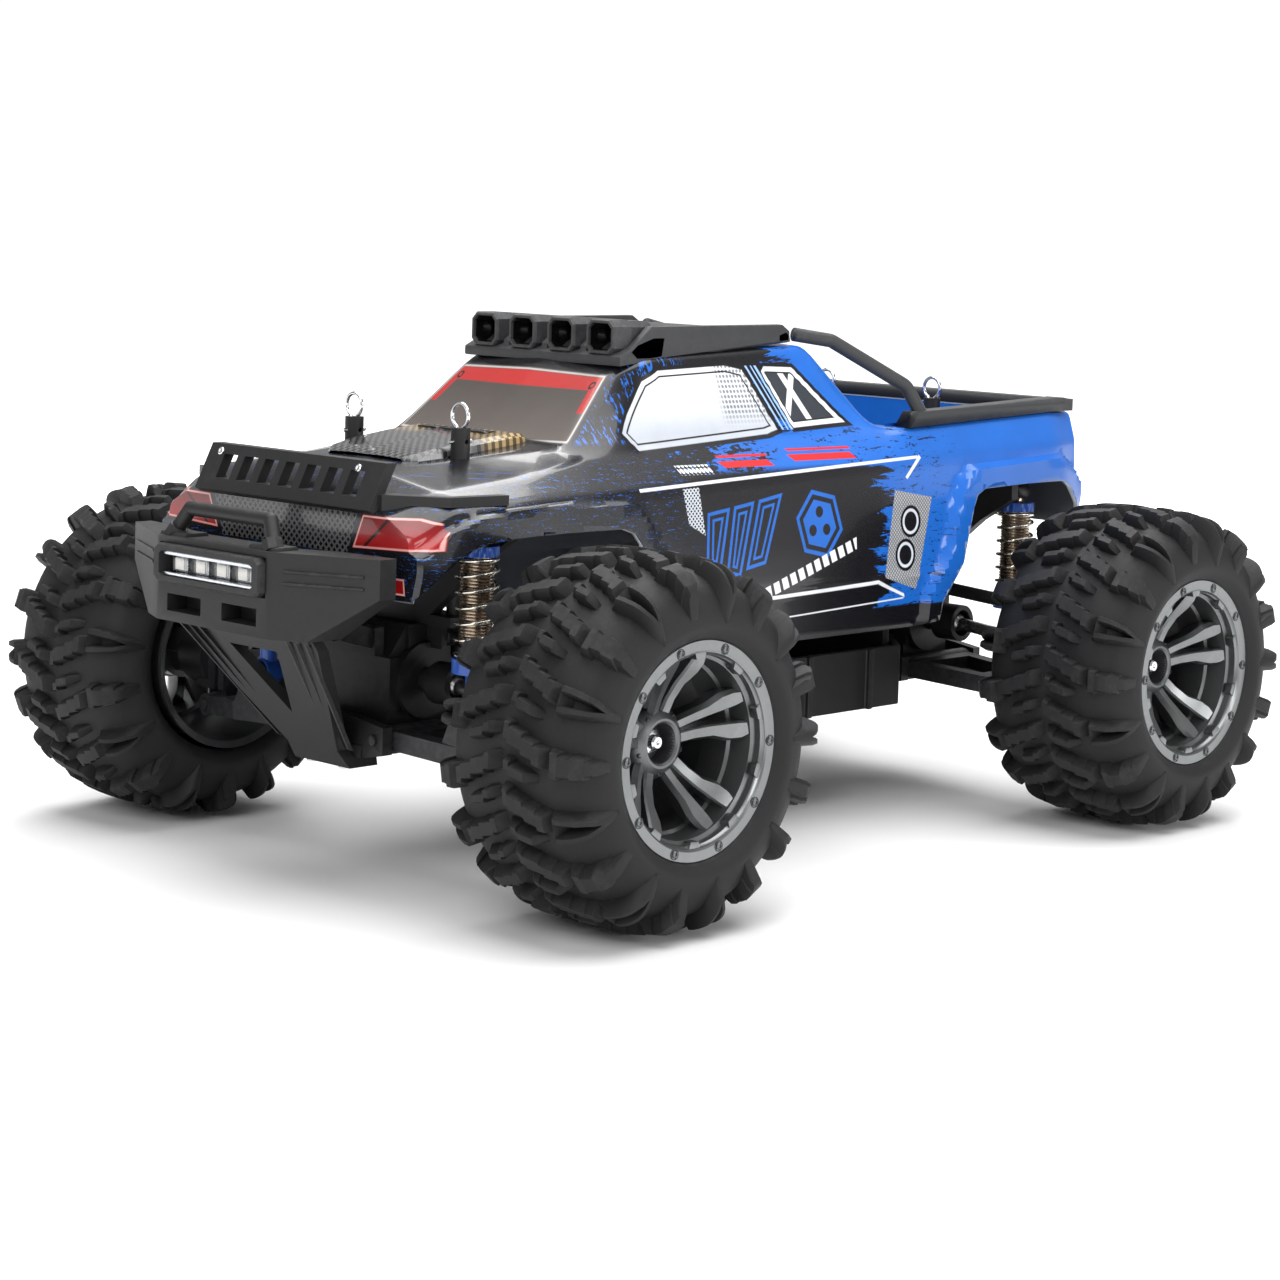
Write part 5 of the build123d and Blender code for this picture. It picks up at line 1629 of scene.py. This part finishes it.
BAR_MATERIALS = ("moulding_black", "reflector", "led_chip", "lens_smoke", "lamp_recess")
BAR_FRAME, BAR_REFLECTOR, BAR_CHIP, BAR_LENS, BAR_PANEL = range(5)
BAR_LAMPS = 4


def draw_light_bar():
    """Lamp bar frame, recessed panel, reflectors and four lamps with their lenses."""
    low, high = box_mm("light_bar")
    front, back = high.x - MID_X, low.x - MID_X
    half = (high.y - low.y) / 2
    bottom, top = low.z, high.z
    middle = (bottom + top) / 2
    shape = Shape()
    outer = ((-half, bottom + 1.2), (-half + 1.6, bottom), (half - 1.6, bottom), (half, bottom + 1.2),
             (half, top - 1.2), (half - 1.6, top), (-half + 1.6, top), (-half, top - 1.2))
    inner = [(y * 0.86, (z - middle) * 0.66 + middle) for y, z in outer]
    ring = [
        [(back, y, z) for y, z in outer],
        [(front - 0.6, y, z) for y, z in outer],
        [(front, y * 0.985, z + (0.35 if z < middle else -0.35)) for y, z in outer],
        [(front, y * 1.03, z) for y, z in inner],
        [(front - 2.6, y, z) for y, z in inner],
        [(back + 1.0, y * 0.98, z) for y, z in inner],
    ]
    shape.rows(ring, closed=True, capped=True)
    shape.tint = BAR_PANEL
    wide = half * 0.85
    panel = front - 3.0
    shape.block((panel - 0.6, -wide, bottom + 1.7), (panel, wide, top - 1.7), bevel=0.1)
    shape.tint = BAR_REFLECTOR
    for z in (bottom + 2.15, top - 2.15):
        shape.block((panel - 0.2, -wide, z - 0.45), (front - 0.7, wide, z + 0.45), bevel=0.15)
    # tint, nearest and furthest from the panel, half width, margin above and below, rounding
    layers = (
        (BAR_REFLECTOR, -0.1, 0.5, 2.5, 2.7, 0.2),
        (BAR_CHIP, 0.0, 1.1, 1.8, 3.2, 0.35),
        (BAR_LENS, 0.9, 1.5, 2.1, 3.0, 0.25),
    )
    for i in range(BAR_LAMPS):
        y = half * (-0.6 + 0.4 * i)
        for tint, near, far, reach, margin, bevel in layers:
            shape.tint = tint
            shape.block((panel + near, y - reach, bottom + margin), (panel + far, y + reach, top - margin),
                        bevel)
    return shape.mesh("light_bar_mesh")


# ---- moulded trim ---------------------------------------------------------------------

# Where the bumper's left wing runs, as (x, y) from its inner to its outer end.
WING = ((156.6, 21.0), (144.5, 46.6))
STRAP_TOP = (147.9, 21.0, 63.0)
STRAP_FOOT = (122.0, 9.6, 31.0)


def draw_wing_ribs(shape, side):
    (x0, y0), (x1, y1) = WING
    for z0, z1 in ((79.2, 80.2), (76.4, 77.4)):
        rows = []
        for t in (0.14, 0.5, 0.86):
            x = x0 + (x1 - x0) * t
            y = side * (y0 + (y1 - y0) * t)
            rows.append([(x - 0.4, y - side * 0.2, z0), (x + 0.45, y + side * 0.2, z0 + 0.25),
                         (x + 0.45, y + side * 0.2, z1 - 0.25), (x - 0.4, y - side * 0.2, z1)])
        shape.rows(rows, closed=True, capped=True)


def draw_strap_rails(shape, side):
    """Three thin rails down one strap of the skid."""
    top = Vector((STRAP_TOP[0], side * STRAP_TOP[1], STRAP_TOP[2]))
    foot = Vector((STRAP_FOOT[0], side * STRAP_FOOT[1], STRAP_FOOT[2]))
    for offset, width in ((-3.6, 0.55), (0.0, 0.35), (3.6, 0.55)):
        rail = []
        for t in (0.04, 0.35, 0.65, 0.94):
            p = top.lerp(foot, t)
            y = p.y + offset * (1.0 - 0.15 * t)
            rail.append([(p.x - 0.6, y - width, p.z - 0.4), (p.x + 0.75, y - width * 0.6, p.z + 0.1),
                         (p.x + 0.75, y + width * 0.6, p.z + 0.1), (p.x - 0.6, y + width, p.z - 0.4)])
        shape.rows(rail, closed=True, capped=True)


def draw_bumper_trim():
    """Ribs on the bumper wings, hoop feet, strap rails of the skid and screws."""
    shape = Shape()
    for side in (1, -1):
        draw_wing_ribs(shape, side)
        shape.tube([(153.4, side * 19.2, 83.6), (152.8, side * 17.6, 86.0)], 2.6, 8)
        shape.prism([(147.4, 82.6), (156.2, 82.6), (155.0, 84.9), (148.6, 84.9)], side * 22, side * 12,
                    bevel=0.4)
        draw_strap_rails(shape, side)
    shape.tint = 1
    for y in (-6.0, 6.0):
        shape.bolt((119.0, y, 27.5), 1.5, -0.7, (0.2, 0, 1))
    for y in (-26.0, 26.0):
        shape.bolt((133.9, y, 103.0), 1.0, 0.5, (0.9, 0, 0.4))
    return shape.mesh("bumper_trim_mesh")


RACK_MATERIALS = ("rack_grey", "lamp_recess", "reflector")
RACK_PLASTIC, RACK_RECESS, RACK_REFLECTOR = range(3)
LAMP_Y = (-21.6, -7.2, 7.2, 21.6)
LAMP_Z = 133.0


def lamp_outline(half_y, half_z, cut):
    """Rectangle with cut corners."""
    return ((-half_y, -half_z + cut), (-half_y + cut, -half_z), (half_y - cut, -half_z),
            (half_y, -half_z + cut), (half_y, half_z - cut), (half_y - cut, half_z),
            (-half_y + cut, half_z), (-half_y, half_z - cut))


def draw_lamp_tube(shape, y, front):
    """Hollow lamp tube with a small bulb at the back of it."""
    outline = lamp_outline(5.1, 4.5, 1.7)

    def rings(places):
        return [[(x, y + u * scale, LAMP_Z + v * scale) for u, v in outline] for x, scale in places]

    shape.tint = RACK_PLASTIC
    shape.rows(rings((
        (34.6, 0.80), (36.0, 0.92), (43.0, 0.95), (43.4, 1.0), (front - 0.6, 1.0), (front, 0.93),
        (front, 0.80), (front - 0.7, 0.76),
    )), closed=True)
    shape.tint = RACK_RECESS
    laid = shape.rows(rings(((front - 0.7, 0.76), (front - 4.0, 0.70), (front - 8.0, 0.60))), closed=True)
    shape.face(laid[-1])
    shape.tint = RACK_REFLECTOR
    shape.lathe([(front - 7.9, 0.05), (front - 7.4, 1.2), (front - 6.4, 2.0), (front - 7.6, 2.2)],
                24, (0, y, LAMP_Z), "X", closed=False)


def draw_rack_rail(shape, side, back, half):
    """Side wall with its dark slot and the rail under the ribs."""
    wall = [(back + 0.4, 131.3), (36.0, 127.8), (44.0, 127.0), (47.0, 129.4), (38.6, 136.0), (-12.6, 136.2),
            (back + 0.4, 134.4)]
    low, high = sorted((side * (half - 2.4), side * half))
    shape.prism(wall, low, high, bevel=0.7)
    slot = [(-8.0, 132.4), (28.0, 130.6), (32.0, 131.4), (30.0, 133.6), (-8.0, 134.6)]
    low, high = sorted((side * (half - 1.0), side * (half - 0.05)))
    shape.tint = RACK_RECESS
    shape.prism(slot, low, high + 0.02 * side, bevel=0.1)
    shape.tint = RACK_PLASTIC
    rail = [(-10.0, 131.2), (34.0, 129.2), (34.0, 130.4), (-10.0, 132.4)]
    shape.prism(rail, side * (half - 4.4), side * (half - 2.0), bevel=0.3)


def draw_roof_rack():
    """Tray with ribs and side rails, and four hollow lamp tubes on its sloped nose."""
    low, high = box_mm("roof_rack")
    front, back = high.x - MID_X, low.x - MID_X
    half = high.y
    shape = Shape()
    nose = [(34.0, 127.6), (front, 125.7), (front, 128.3), (44.0, 131.0), (38.0, 133.6), (33.0, 133.6)]
    shape.prism(nose, -half, half, bevel=0.7)
    tail = [(back, 131.4), (-11.0, 131.2), (-10.6, 133.6), (-14.0, 134.6), (back + 0.6, 133.6)]
    shape.prism(tail, -half, half, bevel=0.5)
    for side in (1, -1):
        draw_rack_rail(shape, side, back, half)
    for x in (-4.0, 10.0, 24.0):
        shape.block((x - 1.7, -half + 2.2, 131.2), (x + 1.7, half - 2.2, 133.8), bevel=0.6)
    for y in LAMP_Y:
        draw_lamp_tube(shape, y, front)
    shape.tint = RACK_PLASTIC
    web = [(35.0, 131.0), (front - 1.4, 127.4), (front - 1.4, 130.4), (40.0, 136.4), (35.0, 136.4)]
    for left, right in zip(LAMP_Y, LAMP_Y[1:]):
        middle = (left + right) / 2
        shape.prism(web, middle - 1.1, middle + 1.1, bevel=0.35)
    return shape.mesh("roof_rack_mesh")


# ---- operators ------------------------------------------------------------------------


class BuildOperator(bpy.types.Operator):
    """What the build steps share"""

    bl_options = {"REGISTER"}


def add_wheel_pieces(part, mesh, materials, degrees):
    """One copy of a mesh at each wheel, in place of the CAD part there."""
    for corner, (fore, side) in CORNERS.items():
        placed = mesh.copy()
        placed.transform(wheel_place(fore, side))
        node = part + "_" + corner
        add_piece(node + "_visual", placed, materials, "wheel_" + corner, (node,), degrees)
    bpy.data.meshes.remove(mesh)


class TRUCK_OT_tyres(BuildOperator):
    """Tyres with chevron and shoulder lugs"""

    bl_idname = "truck.build_tyres"
    bl_label = "Build tyres"

    def execute(self, context):
        add_wheel_pieces("tyre", draw_tyre(), ("tyre_rubber",), 32)
        return {"FINISHED"}


class TRUCK_OT_rims(BuildOperator):
    """Split-spoke rims with bead rings, hubs and nuts"""

    bl_idname = "truck.build_rims"
    bl_label = "Build rims"

    def execute(self, context):
        add_wheel_pieces("rim", draw_rim(), RIM_MATERIALS, 28)
        return {"FINISHED"}


class TRUCK_OT_body(BuildOperator):
    """Body shell, cargo bed and hood scoop"""

    bl_idname = "truck.build_body"
    bl_label = "Build body"

    def execute(self, context):
        shell = add_piece("body_shell_visual", draw_body_shell(),
                          ("body_paint", "shell_inside", "cut_edge"), "root", ("body_shell",),
                          30)
        wall = shell.modifiers.new("wall", "SOLIDIFY")
        wall.thickness = WALL * MM
        wall.offset = -1
        wall.material_offset = 1
        # The solidify rim, which is the shell's cut edges, takes the third material: a painted highlight
        # line.
        wall.material_offset_rim = 2
        add_piece("body_bed_visual", draw_bed(), ("body_paint", "bed_grey"), "root", ("body_shell",),
                  30)
        add_piece("body_scoop_visual", draw_scoop(), ("scoop_carbon", "lamp_recess"), "root",
                  ("body_shell",), 30)
        return {"FINISHED"}


class TRUCK_OT_shocks(BuildOperator):
    """Shock absorbers: bodies, springs and rods"""

    bl_idname = "truck.build_shocks"
    bl_label = "Build shocks"

    def execute(self, context):
        for corner in CORNERS:
            body = "shock_body_" + corner
            add_piece(body + "_visual", draw_shock_body(corner),
                      ("damper_bronze", "damper_blue", "arm_nylon"), body, (body,), 40)
            node = "shock_spring_" + corner
            spring = add_piece(node + "_visual", draw_spring(corner), ("spring_steel",), body, (node,),
                               60)
            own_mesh(spring)
            dress_node("shock_rod_" + corner, "damper_blue", 0.2)
        return {"FINISHED"}


# Start of the CAD nodes' names, their material, their slot and the rounding of their edges.
NODE_FINISHES = (
    ("lower_arm_", "arm_nylon", "arm_black", 0.4),
    ("upper_link_", "arm_nylon", "arm_black", 0.3),
    ("c_hub_", "arm_nylon", "arm_black", 0.4),
    ("knuckle_", "arm_nylon", "arm_black", 0.4),
    ("rear_hub_", "arm_nylon", "arm_black", 0.4),
    ("tie_rod_", "arm_nylon", "arm_black", 0.2),
    ("steering_link", "arm_nylon", "arm_black", 0.3),
    ("servo_arm", "servo_case", "servo_black", 0.2),
    ("driveshaft_", "drive_steel", "drive_steel", 0.0),
    ("centre_shaft", "drive_steel", "drive_steel", 0.0),
    ("spur_gear", "spur_acetal", "gear_plastic", 0.0),
    ("motor_pinion", "pinion_brass", "pinion_brass", 0.0),
    ("motor", "motor_can", "motor_steel", 0.3),
    ("battery_pack", "battery_wrap", "battery_wrap", 0.8),
    ("speed_controller", "servo_case", "servo_black", 0.4),
    ("steering_servo", "servo_case", "servo_black", 0.3),
    ("chassis_tub", "chassis_nylon", "chassis_black", 0.5),
    ("gearbox_housings", "chassis_nylon", "chassis_black", 0.5),
    ("shock_towers", "chassis_nylon", "chassis_black", 0.5),
    ("front_bumper", "moulding_black", "bumper_black", 0.6),
    ("skid_plate", "moulding_black", "bumper_black", 0.6),
    ("grille_guard", "moulding_black", "bumper_black", 0.5),
    ("roll_bar", "rack_grey", "bumper_black", 0.0),
)


class TRUCK_OT_running_gear(BuildOperator):
    """Arms, hubs, drive line, chassis and mouldings"""

    bl_idname = "truck.build_running_gear"
    bl_label = "Build running gear"

    def execute(self, context):
        done = set()
        for start, finish, slot, bevel in NODE_FINISHES:
            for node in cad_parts:
                if node.startswith(start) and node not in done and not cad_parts[node].hide_render:
                    done.add(node)
                    dress_node(node, finish, bevel)
        return {"FINISHED"}


class TRUCK_OT_clips(BuildOperator):
    """Body clips"""

    bl_idname = "truck.build_clips"
    bl_label = "Build clips"

    def execute(self, context):
        add_piece("body_clips_visual", draw_body_clips(), ("chrome_steel",), "root", ("body_clips",),
                  60)
        return {"FINISHED"}


class TRUCK_OT_light_bar(BuildOperator):
    """Lamp bar in the bumper"""

    bl_idname = "truck.build_light_bar"
    bl_label = "Build light bar"

    def execute(self, context):
        add_piece("light_bar_visual", draw_light_bar(), BAR_MATERIALS, "root", ("light_bar",),
                  30)
        return {"FINISHED"}


class TRUCK_OT_trim(BuildOperator):
    """Moulded details of the bumper, and the roof rack with its lamps"""

    bl_idname = "truck.build_trim"
    bl_label = "Build trim"

    def execute(self, context):
        add_piece("bumper_trim_visual", draw_bumper_trim(), ("moulding_black", "chrome_steel"), "root",
                  (), 30)
        add_piece("roof_rack_visual", draw_roof_rack(), RACK_MATERIALS, "root", ("roof_rack",),
                  30)
        return {"FINISHED"}


def area_light(name, place, size, power):
    """A soft white lamp aimed at the truck."""
    lamp = bpy.data.lights.new(name, "AREA")
    lamp.shape = "RECTANGLE"
    lamp.size, lamp.size_y = size
    lamp.energy = power
    obj = bpy.data.objects.new(name, lamp)
    bpy.context.scene.collection.objects.link(obj)
    obj.location = place
    obj.rotation_mode = "QUATERNION"
    target = Vector((MID_X * MM, 0, 0.06))
    obj.rotation_quaternion = (target - Vector(place)).to_track_quat("-Z", "Y")
    return obj


# Name, place, size and power of each lamp, in metres and watts.
LAMPS = (
    ("overhead_soft", (-0.1, 0.0, 1.3), (1.8, 1.6), 34.0),
    ("front_key", (1.2, 0.5, 0.9), (0.6, 0.8), 9.0),
    ("side_strip", (-0.3, 1.4, 0.5), (1.2, 0.3), 7.0),
    ("rear_rim", (-1.0, -0.8, 1.3), (0.8, 0.5), 6.0),
)
FLOOR_REACH = 14.0
FLOOR_DROP = 0.0002
SKY_LIGHT = 0.36
SKY_SEEN = 1.05
CAMERA_PLACE = (587.50, 550.97, 164.57)
CAMERA_YAW, CAMERA_PITCH, CAMERA_ROLL = (math.radians(a) for a in (-135.335, -4.452, 1.7305))
CAMERA_LENS = {
    "lens": 82.91, "sensor_width": 36.0, "shift_x": 0.0382, "shift_y": -0.1543, "clip_start": 0.05,
    "clip_end": 60.0,
}


def lay_floor():
    bm = bmesh.new()
    for x, y in ((-1, -1), (1, -1), (1, 1), (-1, 1)):
        bm.verts.new((x * FLOOR_REACH, y * FLOOR_REACH, -FLOOR_DROP))
    bm.faces.new(bm.verts)
    mesh = bpy.data.meshes.new("floor")
    bm.to_mesh(mesh)
    bm.free()
    mesh.materials.append(material("floor_white"))
    floor = bpy.data.objects.new("floor", mesh)
    bpy.context.scene.collection.objects.link(floor)
    return floor


def light_sky():
    """A white surround that the camera sees brighter than the truck does."""
    world = bpy.data.worlds.new("studio")
    world.use_nodes = True
    graph = Graph(world.node_tree)
    sky = world.node_tree.nodes["Background"].inputs
    sky["Color"].default_value = (1.0, 1.0, 1.0, 1.0)
    seen = graph.node("ShaderNodeLightPath").outputs["Is Camera Ray"]
    graph.put(sky["Strength"], graph.blend(seen, SKY_LIGHT, SKY_SEEN))
    bpy.context.scene.world = world


def place_camera():
    level_reach = math.cos(CAMERA_PITCH)
    forward = Vector((
        level_reach * math.cos(CAMERA_YAW), level_reach * math.sin(CAMERA_YAW), math.sin(CAMERA_PITCH)
    ))
    flat = forward.cross(Vector((0, 0, 1))).normalized()
    raised = flat.cross(forward)
    right = flat * math.cos(CAMERA_ROLL) + raised * math.sin(CAMERA_ROLL)
    up = raised * math.cos(CAMERA_ROLL) - flat * math.sin(CAMERA_ROLL)
    lens = bpy.data.cameras.new("camera")
    for setting, value in CAMERA_LENS.items():
        setattr(lens, setting, value)
    camera = bpy.data.objects.new("camera", lens)
    bpy.context.scene.collection.objects.link(camera)
    turn = Matrix((right, up, -forward)).transposed().to_4x4()
    camera.matrix_world = Matrix.Translation(at(*CAMERA_PLACE)) @ turn
    bpy.context.scene.camera = camera


class TRUCK_OT_stage(BuildOperator):
    """Pale floor, soft lights and the camera"""

    bl_idname = "truck.build_stage"
    bl_label = "Build stage"

    def execute(self, context):
        floor = lay_floor()
        lights = [area_light(*lamp) for lamp in LAMPS]
        light_sky()
        context.scene.view_settings.view_transform = "Standard"
        place_camera()
        return {"FINISHED"}


BUILD_STEPS = (
    TRUCK_OT_tyres,
    TRUCK_OT_rims,
    TRUCK_OT_body,
    TRUCK_OT_shocks,
    TRUCK_OT_clips,
    TRUCK_OT_light_bar,
    TRUCK_OT_running_gear,
    TRUCK_OT_trim,
    TRUCK_OT_stage,
)


class TRUCK_PT_panel(bpy.types.Panel):
    """Lists the build steps and their settings"""

    bl_label = "RC Monster Truck"
    bl_idname = "TRUCK_PT_panel"
    bl_space_type = "VIEW_3D"
    bl_region_type = "UI"
    bl_category = "Truck"

    def draw(self, context):
        for settings in (context.scene.truck_sizes, context.scene.truck_colours):
            for name in settings.__annotations__:
                self.layout.prop(settings, name)
        for step in BUILD_STEPS:
            self.layout.operator(step.bl_idname)


CLASSES = (TruckSizes, TruckColours, *BUILD_STEPS, TRUCK_PT_panel)


def register():
    for entry in CLASSES:
        bpy.utils.register_class(entry)
    bpy.types.Scene.truck_sizes = PointerProperty(type=TruckSizes)
    bpy.types.Scene.truck_colours = PointerProperty(type=TruckColours)


def unregister():
    del bpy.types.Scene.truck_colours
    del bpy.types.Scene.truck_sizes
    for entry in reversed(CLASSES):
        bpy.utils.unregister_class(entry)


def main():
    register()
    for step in BUILD_STEPS:
        group_name, step_name = step.bl_idname.split(".")
        getattr(getattr(bpy.ops, group_name), step_name)()


if __name__ == "__main__":
    main()
